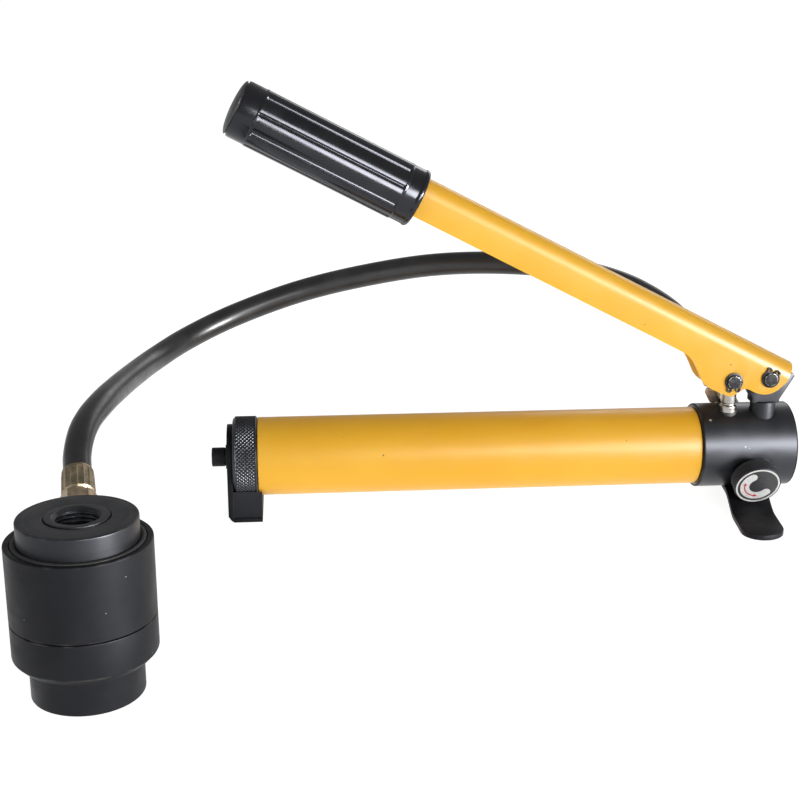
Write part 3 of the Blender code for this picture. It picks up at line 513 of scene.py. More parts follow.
# ---- mesh tools
def eased(profile, radius, closed):
    """Rows of a half outline with its corners rounded, and which strips are corners."""
    steps = 4
    rows, corner = [], []
    for i, point in enumerate(profile):
        here = Vector(point)
        inside = closed or 0 < i < len(profile) - 1
        if inside:
            back = Vector(profile[i - 1]) - here
            ahead = Vector(profile[(i + 1) % len(profile)]) - here
            inside = here.x > 1e-6 and back.angle(-ahead) > radians(20.0)
        if not inside:
            rows.append(here)
            corner.append(False)
            continue
        reach = min(radius, 0.45 * back.length, 0.45 * ahead.length)
        start = here + back.normalized() * reach
        end = here + ahead.normalized() * reach
        for step in range(steps + 1):
            t = step / steps
            rows.append(start * (1 - t) ** 2 + here * 2 * t * (1 - t) + end * t ** 2)
            corner.append(step < steps)
    return rows, corner


def shade(mesh, smooth_angle):
    """Smooth shading, sharp where faces meet at more than the angle."""
    mesh.shade_smooth()
    mesh.set_sharp_from_angle(angle=radians(smooth_angle))


def add_piece(name, mesh):
    """Put a new object with this mesh or curve into the scene."""
    piece = bpy.data.objects.new(name, mesh)
    bpy.context.collection.objects.link(piece)
    return piece


def piece_from(bm, name, smooth_angle=35.0):
    """A new object from a bmesh, with its faces turned outwards."""
    bmesh.ops.recalc_face_normals(bm, faces=bm.faces)
    mesh = bpy.data.meshes.new(name)
    bm.to_mesh(mesh)
    bm.free()
    shade(mesh, smooth_angle)
    return add_piece(name, mesh)


def turned(name, profile, place, steps=ROUND, ease=0.3, relief=None, smooth_angle=35.0):
    """A turned piece with eased corners; relief(radius, height, angle) may shape its walls."""
    closed = profile[0][0] > 1e-6
    rows, corner = eased(profile, ease, closed)
    bm = bmesh.new()
    rings = []
    for radius, height in rows:
        ring = []
        for step in range(1 if radius < 1e-6 else steps):
            angle = 2.0 * pi * step / steps
            reach = relief(radius, height, angle) if relief else radius
            local = Vector((reach * cos(angle), reach * sin(angle), height)) * MM
            ring.append(bm.verts.new(place @ local))
        rings.append(ring)
    last = len(rings) if closed else len(rings) - 1
    for i in range(last):
        low, high = rings[i], rings[(i + 1) % len(rings)]
        if len(low) == 1 and len(high) == 1:
            continue
        for step in range(steps):
            after = (step + 1) % steps
            corners = [low[step % len(low)], low[after % len(low)],
                       high[after % len(high)], high[step % len(high)]]
            face = bm.faces.new(list(dict.fromkeys(corners)))
            face.material_index = 1 if corner[i] else 0
    return piece_from(bm, name, smooth_angle)


def lofted(name, loops, smooth_angle=35.0):
    """A piece skinned over a run of equal loops and closed at both ends."""
    bm = bmesh.new()
    rows = [[bm.verts.new(corner) for corner in loop] for loop in loops]
    count = len(rows[0])
    for low, high in zip(rows, rows[1:]):
        for step in range(count):
            after = (step + 1) % count
            bm.faces.new((low[step], low[after], high[after], high[step]))
    bm.faces.new(list(reversed(rows[0])))
    bm.faces.new(rows[-1])
    return piece_from(bm, name, smooth_angle)


def slab(name, outline, low, high):
    """A flat piece between two depths along Y, from the (x, z) pairs of its outline."""
    return lofted(name, [[spot(x, depth, z) for x, z in outline] for depth in (low, high)])


def arc(x, y, radius, first, last, steps):
    """Pairs along an arc round (x, y) between two angles."""
    angles = [first + (last - first) * step / steps for step in range(steps + 1)]
    return [(x + radius * cos(angle), y + radius * sin(angle)) for angle in angles]


def rod(origin, axis, radius, length, steps=48):
    """A plain cylinder used as a cutter."""
    return turned("cutter", [(0, 0), (radius, 0), (radius, length), (0, length)],
                  frame_at(origin, axis), steps, 0.0)


def settle(piece):
    """Apply a piece's modifiers to its mesh."""
    bpy.context.view_layer.update()
    shaped = piece.evaluated_get(bpy.context.evaluated_depsgraph_get())
    fresh = bpy.data.meshes.new_from_object(shaped)
    piece.modifiers.clear()
    piece.data = fresh


def combine(target, others, operation):
    """Join or cut target with other closed pieces, which are used up."""
    for other in others:
        step = target.modifiers.new("join", "BOOLEAN")
        step.object = other
        step.operation = operation
        step.solver = "EXACT"
        settle(target)
        bpy.data.objects.remove(other, do_unlink=True)
    bm = bmesh.new()
    bm.from_mesh(target.data)
    bmesh.ops.remove_doubles(bm, verts=bm.verts, dist=2e-6)
    bmesh.ops.dissolve_degenerate(bm, dist=1e-6, edges=bm.edges)
    bm.to_mesh(target.data)
    bm.free()
    return target


def rounded_edges(piece, width, angle=40.0, segments=3, smooth_angle=35.0):
    """Round the sharp edges; the rounded faces take the piece's second material."""
    step = piece.modifiers.new("round", "BEVEL")
    step.width = width * MM
    step.segments = segments
    step.limit_method = "ANGLE"
    step.angle_limit = radians(angle)
    step.material = 1
    step.use_clamp_overlap = True
    while len(piece.data.materials) < 2:
        piece.data.materials.append(None)
    settle(piece)
    shade(piece.data, smooth_angle)
    return piece


def round_normals(piece, origin, axis, radius):
    """Give the wall of that radius the normals of a true cylinder, also beside drilled holes."""
    mesh = piece.data
    start, line = spot(*origin), Vector(axis).normalized()
    normals = [Vector(corner.vector) for corner in mesh.corner_normals]
    for face in mesh.polygons:
        for index in face.loop_indices:
            offset = mesh.vertices[mesh.loops[index].vertex_index].co - start
            radial = offset - line * offset.dot(line)
            on_wall = abs(radial.length / MM - radius) < 0.15
            if on_wall and face.normal.dot(radial) > 0.98 * radial.length:
                normals[index] = radial.normalized()
    mesh.normals_split_custom_set(normals)


def dress(piece, body, slot, looks, *nodes):
    """Finish a piece: materials, the body it moves with and the nodes it stands for; slot is not used."""
    looks = list(looks) if isinstance(looks, (tuple, list)) else [looks, looks]
    indices = [face.material_index for face in piece.data.polygons] if piece.type == "MESH" else []
    piece.data.materials.clear()
    for look in looks:
        piece.data.materials.append(look)
    for face, index in zip(piece.data.polygons if indices else (), indices):
        face.material_index = min(index, len(looks) - 1)
    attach(piece, body)
    if nodes:
        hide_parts(*nodes)
    return piece


def softened(node, width):
    """A finer copy of a CAD node with its sharp edges rounded."""
    bm = bmesh.new()
    bm.from_mesh(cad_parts[node].data)
    bmesh.ops.remove_doubles(bm, verts=bm.verts, dist=2e-6)
    bmesh.ops.dissolve_limit(bm, angle_limit=radians(1.0), verts=bm.verts, edges=bm.edges)
    return rounded_edges(piece_from(bm, node + "_fine"), width)


# ---- surface patterns
def peak(x):
    """Triangle wave: 0 at whole numbers, 1 half way."""
    return 1.0 - abs(2.0 * (x % 1.0) - 1.0)


def knurl(count, pitch, depth, low, high):
    """Diamond knurling between two heights, made by grooves that cross."""
    def relief(radius, height, angle):
        if not low < height < high:
            return radius
        turn = count * angle / (2.0 * pi)
        crest = min(peak(turn + height / pitch), peak(turn - height / pitch))
        fade = min(1.0, (height - low) / 0.5, (high - height) / 0.5)
        return radius - depth * fade * (1.0 - min(1.0, 1.7 * crest))
    return relief


def facets(count, apothem):
    """Flat sides; the corners stay at the turned radius, as on a chamfered nut."""
    sector = 2.0 * pi / count

    def relief(radius, height, angle):
        return min(radius, apothem / cos(angle % sector - sector / 2.0))
    return relief


def wall(radius, low, high, spacing):
    """Closely spaced rows of a straight wall."""
    count = max(1, round(abs(high - low) / spacing))
    return [(radius, low + (high - low) * step / count) for step in range(count + 1)]


# ---- hose
def between(first, last, start, end, t):
    """The point at t on a straight run from first, at start, to last, at end."""
    return first * ((end - t) / (end - start)) + last * ((t - start) / (end - start))


def smooth_route(route, first_tangent, last_tangent, pieces):
    """A smooth line through the route points (centripetal Catmull-Rom)."""
    points = [Vector(point) for point in route]
    points.insert(0, points[0] - first_tangent * 25.0)
    points.append(points[-1] + last_tangent * 25.0)
    line = []
    for i in range(1, len(points) - 2):
        p0, p1, p2, p3 = points[i - 1:i + 3]
        t1 = sqrt((p1 - p0).length)
        t2 = t1 + sqrt((p2 - p1).length)
        t3 = t2 + sqrt((p3 - p2).length)
        for step in range(pieces):
            t = t1 + (t2 - t1) * step / pieces
            a1 = between(p0, p1, 0.0, t1, t)
            a2 = between(p1, p2, t1, t2, t)
            a3 = between(p2, p3, t2, t3, t)
            b1 = between(a1, a2, 0.0, t2, t)
            b2 = between(a2, a3, t1, t3, t)
            line.append(between(b1, b2, t1, t2, t))
    line.append(points[-2])
    return line


def round_bar(name, points, radius, sides):
    """A round bar or hose along points of the pump frame."""
    curve = bpy.data.curves.new(name, "CURVE")
    curve.dimensions = "3D"
    curve.bevel_depth = radius * MM
    curve.bevel_resolution = sides
    curve.use_fill_caps = True
    spline = curve.splines.new("POLY")
    spline.points.add(len(points) - 1)
    for target, point in zip(spline.points, points):
        target.co = (*spot(*point), 1.0)
    spline.use_smooth = True
    return add_piece(name, curve)


def crimped(radius, height, angle):
    """Crimp flats with a narrow ridge between them, fading out at both ends."""
    sector = 2.0 * pi / CRIMPS
    local = angle % sector - sector / 2.0
    flat = min(radius, radius * CRIMP_APOTHEM / cos(local))
    ridge = CRIMP_RIDGE * max(0.0, 1.0 - (sector / 2.0 - abs(local)) / 0.06)
    hold = max(0.0, min(1.0, (height - 1.6) / 1.6, (15.2 - height) / 1.2))
    return radius + (flat + ridge - radius) * hold


def hose_end(suffix, tip, axis, zinc, gold):
    """Crimped ferrule and swivel nut; axis points from the hose into the fitting."""
    place = frame_at(tip, axis)
    tapered = [(radius + 0.4 * min(1.0, height / 14.0), height)
               for radius, height in wall(7.9, 1.3, 14.8, 0.5)]
    profile = [(0, 0), (7.2, 0), (7.7, 0.9), *tapered, (7.5, 15.7), (6.6, FERRULE_END), (0, FERRULE_END)]
    shell = turned("ferrule_%s_fine" % suffix, profile, place, 192, 0.35, crimped, 30.0)
    dress(shell, "pump_frame", "yellow_zinc", zinc, "ferrule_" + suffix)
    profile = [(0, NUT_START), (8.2, NUT_START), (8.7, 17.0), (NUT_R, 18.0), (NUT_R, 25.2),
               (8.8, NUT_END), (0, NUT_END)]
    hexagon = facets(6, NUT_R * cos(pi / 6))
    nut = turned("swivel_nut_%s_fine" % suffix, profile, place, 120, 0.3, hexagon, 25.0)
    dress(nut, "pump_frame", "yellow_zinc", gold, "swivel_nut_" + suffix)
    return [shell, nut]


def hose_and_ends():
    """The hose between its two fittings, and the fittings at both its ends."""
    ram_end, pump_end = Vector(HOSE_ROUTE[0]), Vector(HOSE_ROUTE[-1])
    rise = ram_fitting_axis()
    route = [ram_end + rise * STRAIGHT, *HOSE_ROUTE[1:-1], pump_end - PUMP_FITTING_AXIS * STRAIGHT]
    line = smooth_route(route, rise, PUMP_FITTING_AXIS, 9)
    line.insert(0, ram_end + rise * GAP)
    line.append(pump_end - PUMP_FITTING_AXIS * GAP)
    cover = dress(round_bar("hose_cover", line, HOSE_R, 8), "pump_frame", "black_rubber",
                  [hose_rubber()], "hose")
    zinc = yellow_zinc("zinc_ferrule")
    gold = yellow_zinc("zinc_nut", 0.13)
    on_hose = hose_end("ram", ram_end, -rise, zinc, gold)
    on_hose += hose_end("pump", pump_end, PUMP_FITTING_AXIS, zinc, gold)
    mouth = 39.0
    profile = [(0, FITTING_START), (6.2, FITTING_START), *wall(6.4, 27.4, 38.0, 2.0), (5.6, mouth),
               (0, mouth)]
    neck = turned("outlet_adapter_fine", profile, frame_at(pump_end, PUMP_FITTING_AXIS), SMALL_ROUND)
    dress(neck, "pump_frame", "yellow_zinc", zinc, "outlet_adapter")
    ram_elbow(ram_end, rise, zinc)


def ram_elbow(tip, rise, zinc):
    """Forged elbow from the ram's port up to the hose's swivel nut."""
    corner = tip - rise * PORT_REACH
    level = port_direction()
    bend, steps = 7.0, 12
    path = [corner - level * 9.0, corner - level * bend]
    for step in range(1, steps):
        share = step / steps
        path.append((corner - level * bend) * (1 - share) ** 2 + corner * 2 * share * (1 - share)
                    + (corner + rise * bend) * share ** 2)
    path += [corner + rise * bend, tip - rise * FITTING_START]
    elbow = round_bar("ram_elbow_fine", path, ELBOW_R, 10)
    dress(elbow, "pump_frame", "yellow_zinc", [zinc], "ram_elbow")


# ---- pump body
def reservoir():
    """Painted oil tube with two small chips."""
    chips = [(-60.0, -23.0, 41.5, 0.5), (88.0, -21.0, 46.0, 0.35)]
    paint = (yellow_paint("paint_tube", chips), yellow_paint("paint_tube_edge", (), True))
    profile = [(TUBE_BORE_R, -TUBE_HALF), (TUBE_R, -TUBE_HALF), (TUBE_R, TUBE_HALF),
               (TUBE_BORE_R, TUBE_HALF)]
    tube = turned("reservoir_tube_fine", profile, frame_at((0, 0, AXIS_Z), ALONG_X), 160, 0.5)
    dress(tube, "pump_frame", "yellow_paint", paint, "reservoir_tube")


def rear_cap():
    """Screwed cap with a diamond-knurled rim, and the foot bracket it stands on."""
    face, start = -CAP_END_X, TUBE_HALF + GAP
    spigot_end = TUBE_HALF - 15.0
    rim_start, rim_end = start + 0.8, face - 1.6
    hole_r, groove_r, groove_start, groove_end = 4.4, SPIGOT_R - 2.6, 126.0, 129.0
    profile = [(hole_r, spigot_end), (SPIGOT_R - 1, spigot_end), (SPIGOT_R, spigot_end + 1),
               (SPIGOT_R, groove_start), (groove_r, groove_start), (groove_r, groove_end),
               (SPIGOT_R, groove_end), (SPIGOT_R, start), (CAP_R - 0.9, start),
               *wall(CAP_R, rim_start, rim_end, 0.26), (CAP_R - 1.6, face), (hole_r, face)]
    origin = (0, 0, AXIS_Z)
    cap = turned("rear_cap_fine", profile, frame_at(origin, -ALONG_X), 512, 0.25,
                 knurl(64, 2.4, 0.62, rim_start, rim_end), 50.0)
    looks = black_looks("black_cap", origin, ALONG_X, 0.16, 0.16)
    dress(cap, "pump_frame", "black_finish", looks, "rear_cap")
    looks = black_looks("black_foot_rear", (CAP_END_X, 0, AXIS_Z), UP, -0.04)
    dress(softened("rear_foot", 1.4), "pump_frame", "black_finish", looks, "rear_foot")


def filler_plug():
    """Plug with a hexagon socket, seen from the rear end."""
    seat = -CAP_END_X + GAP + 3.2 + GAP
    head = seat + 0.9 + GAP
    origin = (0, 0, AXIS_Z)
    tip, top, head_r, socket_r = 124.0, head + 8.2, 5.8, 3.0
    profile = [(0, tip), (3.2, tip), (4.1, tip + 1.0), (4.1, head), (head_r, head), (head_r, top),
               (0, top)]
    plug = turned("filler_plug_fine", profile, frame_at(origin, -ALONG_X), SMALL_ROUND, 0.8)
    floor, above = head + 4.6, head + 9
    socket = turned("cutter", [(0, floor), (socket_r, floor), (socket_r, above), (0, above)],
                    frame_at(origin, -ALONG_X), 6, 0.0)
    combine(plug, [socket], "DIFFERENCE")
    shade(plug.data, 35.0)
    dress(plug, "filler", "black_finish", black_looks("black_plug", origin, ALONG_X), "filler_plug")


def pump_head():
    """Round head block with the drilled bores that show, and the wiper round the plunger."""
    origin = (0, 0, AXIS_Z)
    spigot_end = 120.0
    profile = [(0, spigot_end), (SPIGOT_R, spigot_end), (SPIGOT_R, HEAD_START_X), (HEAD_R, HEAD_START_X),
               (HEAD_R, HEAD_END_X), (0, HEAD_END_X)]
    head = turned("pump_head_fine", profile, frame_at(origin, ALONG_X), 144, 1.1)
    mouth = Vector(HOSE_ROUTE[-1]) + PUMP_FITTING_AXIS * OUTLET_MOUTH
    valve_seat = Vector((KNOB_X, 0, AXIS_Z)) + knob_axis() * VALVE_SEAT
    flat_start, flat_end = 149.0, 183.0
    flat = slab("cutter", [(flat_start, -5), (flat_end, -5), (flat_end, HEAD_FLAT_Z),
                           (flat_start, HEAD_FLAT_Z)], -30, 30)
    plunger_bore = rod((PLUNGER_X, LINK_Y, 40.0), UP, PLUNGER_R + 0.3, 40)
    post_hole = rod((POST_X, LINK_Y, 45.0), UP, POST_R + GAP, 30, 64)
    outlet = rod(mouth - PUMP_FITTING_AXIS * 12, PUMP_FITTING_AXIS, 6.8, 23)
    delivery_hole = rod((182.0, -6.0, 26.0), ALONG_X, 4.5, 20)
    valve_bore = rod(valve_seat, knob_axis(), SPINDLE_R + 0.4, 30)
    combine(head, [plunger_bore, post_hole, outlet, delivery_hole, valve_bore, flat], "DIFFERENCE")
    shade(head.data, 30.0)
    round_normals(head, origin, ALONG_X, HEAD_R)
    chips = [(141.0, -15.5, 56.1, 0.75), (161.0, -25.2, 41.6, 0.5), (163.4, -25.4, 40.6, 0.35)]
    looks = black_looks("black_head", origin, ALONG_X, 0.26, chips=chips)
    dress(head, "pump_frame", "black_finish", looks, "pump_head")
    inner, outer, low, high = PLUNGER_R + 0.05, PLUNGER_R + 0.27, 56.5, 59.6
    wiper = [(inner, low), (outer, low), (outer, high), (inner, high)]
    dress(turned("plunger_wiper", wiper, frame_at((PLUNGER_X, LINK_Y, 0), UP), SMALL_ROUND, 0.05),
          "pump_frame", "black_rubber", seal_rubber("rubber_wiper"))


def foot_height(y):
    """Underside of the strap: up at the head's flat, then down to the floor."""
    share = max(0.0, min(1.0, (abs(y) - FOOT_ROOT) / (FOOT_LANDS - FOOT_ROOT)))
    return (HEAD_FLAT_Z - GAP - FOOT_THICK) * (1.0 - share * share * (3.0 - 2.0 * share))


def foot_half_width(y):
    """Half width of the strap, rounded off at its ends."""
    past = max(0.0, abs(y) - (FOOT_REACH - FOOT_HALF_WIDTH))
    return max(1.0, sqrt(max(0.0, FOOT_HALF_WIDTH ** 2 - past ** 2)))


def front_foot():
    """Bent strap under the head whose two wings stand on the floor, turned slightly askew."""
    run = [FOOT_REACH, 72.8, 72.3, 71.4, 70.2, 68.7, 66.9, 64.8, 62.5, 60.0, 50.0]
    run += [FOOT_LANDS - step for step in range(29)]
    loops = []
    for y in [-y for y in run] + list(reversed(run)):
        half, low = foot_half_width(y), foot_height(y)
        centre = FOOT_X + FOOT_SKEW * y
        top = low + FOOT_THICK
        loops.append([spot(centre - half, y, low), spot(centre + half, y, low),
                      spot(centre + half, y, top), spot(centre - half, y, top)])
    strap = rounded_edges(lofted("front_foot_fine", loops, 40.0), 0.55, 50.0)
    combine(strap, [rod((x, 0, 0), UP, 2.6, 20) for x in FOOT_SCREW_XS], "DIFFERENCE")
    shade(strap.data, 35.0)
    looks = black_looks("black_strap", (FOOT_X, 0, 0), ALONG_Y)
    dress(strap, "pump_frame", "black_finish", looks, "front_foot")
    steel = dark_steel("dark_screws", (FOOT_X, 0, 0), UP)
    for node in ("foot_screw_1", "foot_screw_2", "delivery_plug"):
        dress(softened(node, 0.25), "pump_frame", "dark_steel", steel, node)


# ---- release valve
def dial_frame():
    """Placement on the release valve's axis with local X along the pump and Y upwards."""
    out = knob_axis()
    turn = Matrix((ALONG_X, out.cross(ALONG_X), out)).transposed().to_4x4()
    return Matrix.Translation(spot(KNOB_X, 0.0, AXIS_Z)) @ turn


def dial_shape(name, outline, low, high, look):
    """One printed shape of the dial, from the pairs of its outline."""
    place = dial_frame()
    loops = [[place @ (Vector((*point, depth)) * MM) for point in outline] for depth in (low, high)]
    dress(lofted(name, loops), "release_valve", "dial_print", look)


def band_outline(inner, outer, start, end, round_ends):
    """A band between two radii and two angles in degrees, with round or square ends."""
    first, last = radians(start), radians(end)
    middle, half = (inner + outer) / 2.0, (outer - inner) / 2.0

    def cap(turn, begin):
        centre = (middle * cos(turn), middle * sin(turn))
        return arc(*centre, half, begin, begin + pi, 12)[1:-1] if round_ends else []
    return (arc(0, 0, outer, first, last, 48) + cap(last, last)
            + arc(0, 0, inner, first, last, 48)[::-1] + cap(first, first + pi))


def arrow_outline(radius, angle, direction):
    """Small triangle at one end of the dial's arrow, pointing round the dial."""
    length, half = 2.3, 1.25
    turn = radians(angle)
    tangent = Vector((-sin(turn), cos(turn))) * direction
    outward = Vector((cos(turn), sin(turn)))
    base = outward * radius
    return [base + outward * half, base + tangent * length, base - outward * half]


def release_valve():
    """Knurled knob with a printed dial on its face."""
    base = (KNOB_X, 0.0, AXIS_Z)
    out = knob_axis()
    face = KNOB_FACE
    profile = [(SPINDLE_R + GAP, KNOB_NEAR), (12.2, KNOB_NEAR), (13.0, KNOB_NEAR + 1.4),
               *wall(KNOB_R, KNOB_NEAR + 2.2, face - 0.7, 0.22), (KNOB_R - 0.4, face), (13.8, face),
               (13.8, face - 1.2), (SPINDLE_R + GAP, face - 1.2)]
    knob = turned("release_knob_fine", profile, frame_at(base, out), 432, 0.2,
                  knurl(54, 1.65, 0.45, KNOB_NEAR + 2.2, face - 0.7), 50.0)
    looks = black_looks("black_knob", base, out, 0.16, 0.16)
    dress(knob, "release_valve", "black_finish", looks, "release_knob")
    ink = print_ink("ink_black", (0.030, 0.030, 0.033), (0.055, 0.055, 0.058))
    back, front = face - 0.9, face - 0.1
    plate = turned("dial_plate", [(0, back), (13.5, back), (13.5, front), (0, front)],
                   frame_at(base, out), ROUND, 0.1)
    dress(plate, "release_valve", "dial_print", ink, "knob_dial")
    white = print_ink("ink_white", (0.78, 0.78, 0.77), (0.52, 0.51, 0.50))
    red = print_ink("ink_red", (0.62, 0.03, 0.04), (0.45, 0.06, 0.06))
    low, high = face - 0.09, face - 0.03
    top = high + 0.03
    ring = turned("dial_ring", [(12.3, low), (13.4, low), (13.4, high), (12.3, high)],
                  frame_at(base, out), ROUND, 0.02)
    dress(ring, "release_valve", "dial_print", white)
    dial_shape("dial_band", band_outline(5.3, 10.8, 122.0, 318.0, True), low, high, white)
    dial_shape("dial_arrow", band_outline(7.7, 8.5, 176.0, 262.0, False), high, top, red)
    for name, angle, direction in (("dial_arrow_open", 176.5, -1.0), ("dial_arrow_shut", 261.5, 1.0)):
        dial_shape(name, arrow_outline(8.1, angle, direction), high, top, red)


# ---- lever
def channel_loop(depth):
    """Section of the pressed channel: arched top, two cheeks, open below."""
    outer, inner = LEVER_HALF_WIDTH, LEVER_HALF_WIDTH - LEVER_WALL
    centre, quarter = outer - LEVER_ARCH_R, pi / 2
    small = LEVER_ARCH_R - LEVER_WALL
    arch = (arc(-centre, -LEVER_ARCH_R, LEVER_ARCH_R, 2 * quarter, quarter, 10)
            + arc(centre, -LEVER_ARCH_R, LEVER_ARCH_R, quarter, 0.0, 10))
    hollow = (arc(centre, -LEVER_ARCH_R, small, 0.0, quarter, 10)
              + arc(-centre, -LEVER_ARCH_R, small, quarter, 2 * quarter, 10))
    return [(-outer, -depth), *arch, (outer, -depth), (inner, -depth), *hollow, (-inner, -depth)]


def eased_value(points, x):
    """Smooth value through (x, value) points, by cubic pieces with limited slopes."""
    for i in range(len(points) - 1):
        (x0, y0), (x1, y1) = points[i], points[i + 1]
        if x <= x1 or i == len(points) - 2:
            slopes = []
            for k in (i, i + 1):
                low, high = max(0, k - 1), min(len(points) - 1, k + 1)
                slopes.append((points[high][1] - points[low][1]) / (points[high][0] - points[low][0]))
            t, span = (x - x0) / (x1 - x0), x1 - x0
            return ((2 * t ** 3 - 3 * t ** 2 + 1) * y0 + (t ** 3 - 2 * t ** 2 + t) * span * slopes[0]
                    + (3 * t ** 2 - 2 * t ** 3) * y1 + (t ** 3 - t ** 2) * span * slopes[1])
    return points[-1][1]


# Depth of the channel below its top, along the lever from the pivot
LEVER_DEPTHS = ((-351.0, 22.3), (-120.0, 22.8), (-56.0, 23.0), (-50.5, 24.2), (-46.0, 26.5),
                (-41.5, 29.8), (-37.0, 33.2), (-33.0, 34.9), (-28.0, 35.2), (-21.0, 34.8),
                (-15.6, 33.8), (-13.4, 30.4), (-10.8, 26.2), (-8.4, 25.4), (-3.0, 25.2),
                (2.0, 23.9), (5.6, 21.4), (8.2, 17.8), (9.8, 13.6), (10.6, 11.4))
LEVER_NOSE = LEVER_DEPTHS[-1][0]


def lever():
    """Pressed channel with deep cheeks round the two pins."""
    stations = [-351.0, -300.0, -240.0, -180.0, -120.0, -80.0, -60.0]
    stations += [-56.0 + 0.8 * step for step in range(84)]
    loops = []
    for along in [x for x in stations if x < LEVER_NOSE] + [LEVER_NOSE]:
        section = channel_loop(eased_value(LEVER_DEPTHS, along))
        loops.append([lever_point(along, LEVER_TOP + down, across) for across, down in section])
    body = lofted("lever_fine", loops, 30.0)
    holes = [rod((x, LINK_Y - 20, z), ALONG_Y, PIN_HOLE_R, 40)
             for x, z in ((PIVOT_X, PIVOT_Z), (PIVOT_X - PIN_ARM, PIVOT_Z - PIN_DROP))]
    combine(body, holes, "DIFFERENCE")
    rounded_edges(body, 0.5, 55.0, 3, 32.0)
    chips = [(120.3, -13.5, 126.2, 0.75), (150.0, -19.0, 92.0, 0.4), (96.0, -19.0, 118.0, 0.3)]
    paint = (yellow_paint("paint_lever", chips), yellow_paint("paint_lever_edge", (), True))
    dress(body, "hand_lever", "yellow_paint", paint, "lever")


def grip_relief(radius, height, angle):
    """Broad crowned ribs with narrow grooves between them, each with a fine line in its floor."""
    if radius < GRIP_R - 1.0 or not RIBS_NEAR < height < RIBS_FAR:
        return radius
    sector = 2.0 * pi / GRIP_RIBS
    away = abs((angle - GRIP_TURN + sector / 2.0) % sector - sector / 2.0)
    local = away / (GROOVE_HALF / GRIP_R)
    groove = max(0.0, 1.0 - local ** 4)
    line = 0.75 * exp(-(local / 0.30) ** 2)
    crown = GRIP_CROWN * (1.0 - away / (sector / 2.0)) ** 2
    fade = min(1.0, (height - RIBS_NEAR) / 1.6, (RIBS_FAR - height) / 1.6)
    fade = fade * fade * (3.0 - 2.0 * fade)
    return radius - fade * (crown + GROOVE_DEPTH * (groove - groove * line))


def rolled_rim(radius, height, angle):
    """The disc's rim wanders where the sleeve was rolled over it."""
    return radius * (1.0 - 0.010 * (1.0 + sin(2.0 * angle + 0.6))) if radius > 12 else radius


def grip():
    """Ribbed sleeve with a plain collar at each end, and the disc that closes it."""
    near, far, end = GRIP_NEAR, GRIP_FAR, GRIP_FAR + GRIP_DOME
    collar, mouth = GRIP_R - 0.45, GRIP_R - 1.25
    profile = [(GRIP_BORE_R, near), (GRIP_R - 0.9, near), (GRIP_R, near + 1.2), (GRIP_R, near + 2.2),
               (collar, near + 3.4), (collar, near + 10.6), (GRIP_R, near + 11.4),
               *wall(GRIP_R, near + 11.6, near + 14.0, 0.4), *wall(GRIP_R, far - 15.0, far - 12.6, 0.4),
               (GRIP_R, far - 12.4), (collar, far - 11.6), (collar, end - 5.6), (mouth + 0.5, end - 4.2),
               (mouth, end - 4.4), (mouth, end - 6.5), (GRIP_BORE_R, end - 7.5)]
    sleeve = turned("grip_sleeve_fine", profile, lever_frame(), 320, 0.9, grip_relief, 42.0)
    dress(sleeve, "hand_lever", "black_plastic", grip_plastic(), "grip_sleeve")
    rim = GRIP_R - 0.9
    neck = rim - 0.8
    dome = [(rim * cos(turn), end - 3.3 + 3.1 * sin(turn))
            for turn in (radians(12.0 * step) for step in range(8))]
    back, shoulder = end - 6.2, end - 3.5
    profile = [(0, back), (neck, back), (neck, shoulder), (rim, shoulder), *dome, (0, end - 0.2)]
    disc = turned("grip_end_disc_fine", profile, lever_frame(), ROUND, 0.4, rolled_rim)
    dress(disc, "hand_lever", "black_plastic", disc_plastic(), "grip_end_disc")


def pin_profile(middle_r):
    """Half outline of a clipped pin, with its two clip grooves."""
    groove = (LEVER_HALF_WIDTH + 0.1, LEVER_HALF_WIDTH + GAP + CLIP_THICK + 0.2)
    shoulder = LEVER_HALF_WIDTH - LEVER_WALL - GAP
    half = [(middle_r, shoulder), (PIN_R, shoulder), (PIN_R, groove[0]),
            (3.4, groove[0]), (3.4, groove[1]), (PIN_R, groove[1]), (PIN_R, PIN_HALF), (0, PIN_HALF)]
    if middle_r == PIN_R:
        half = half[2:]
    return [(radius, -height) for radius, height in reversed(half)] + half


def retaining_clip(name, x, z, turn, low):
    """Circlip: an open ring with two ears, each with a plier hole."""
    inner, outer, opening, ear_turn = 3.7, 5.5, radians(24.0), radians(29.0)
    first, last = turn + opening, turn + 2 * pi - opening
    outline = arc(x, z, outer, first, last, 40) + arc(x, z, inner, first, last, 40)[::-1]
    ring = slab(name, outline, low, low + CLIP_THICK)
    ears, holes = [], []
    for angle in (turn - ear_turn, turn + ear_turn):
        ear_x, ear_z = x + outer * cos(angle), z + outer * sin(angle)
        ears.append(rod((ear_x, low, ear_z), ALONG_Y, 1.75, CLIP_THICK, 32))
        holes.append(rod((ear_x, low - 1.0, ear_z), ALONG_Y, 0.78, CLIP_THICK + 2.0, 20))
    combine(ring, ears, "UNION")
    combine(ring, holes, "DIFFERENCE")
    return rounded_edges(ring, 0.14, 50.0, 2)


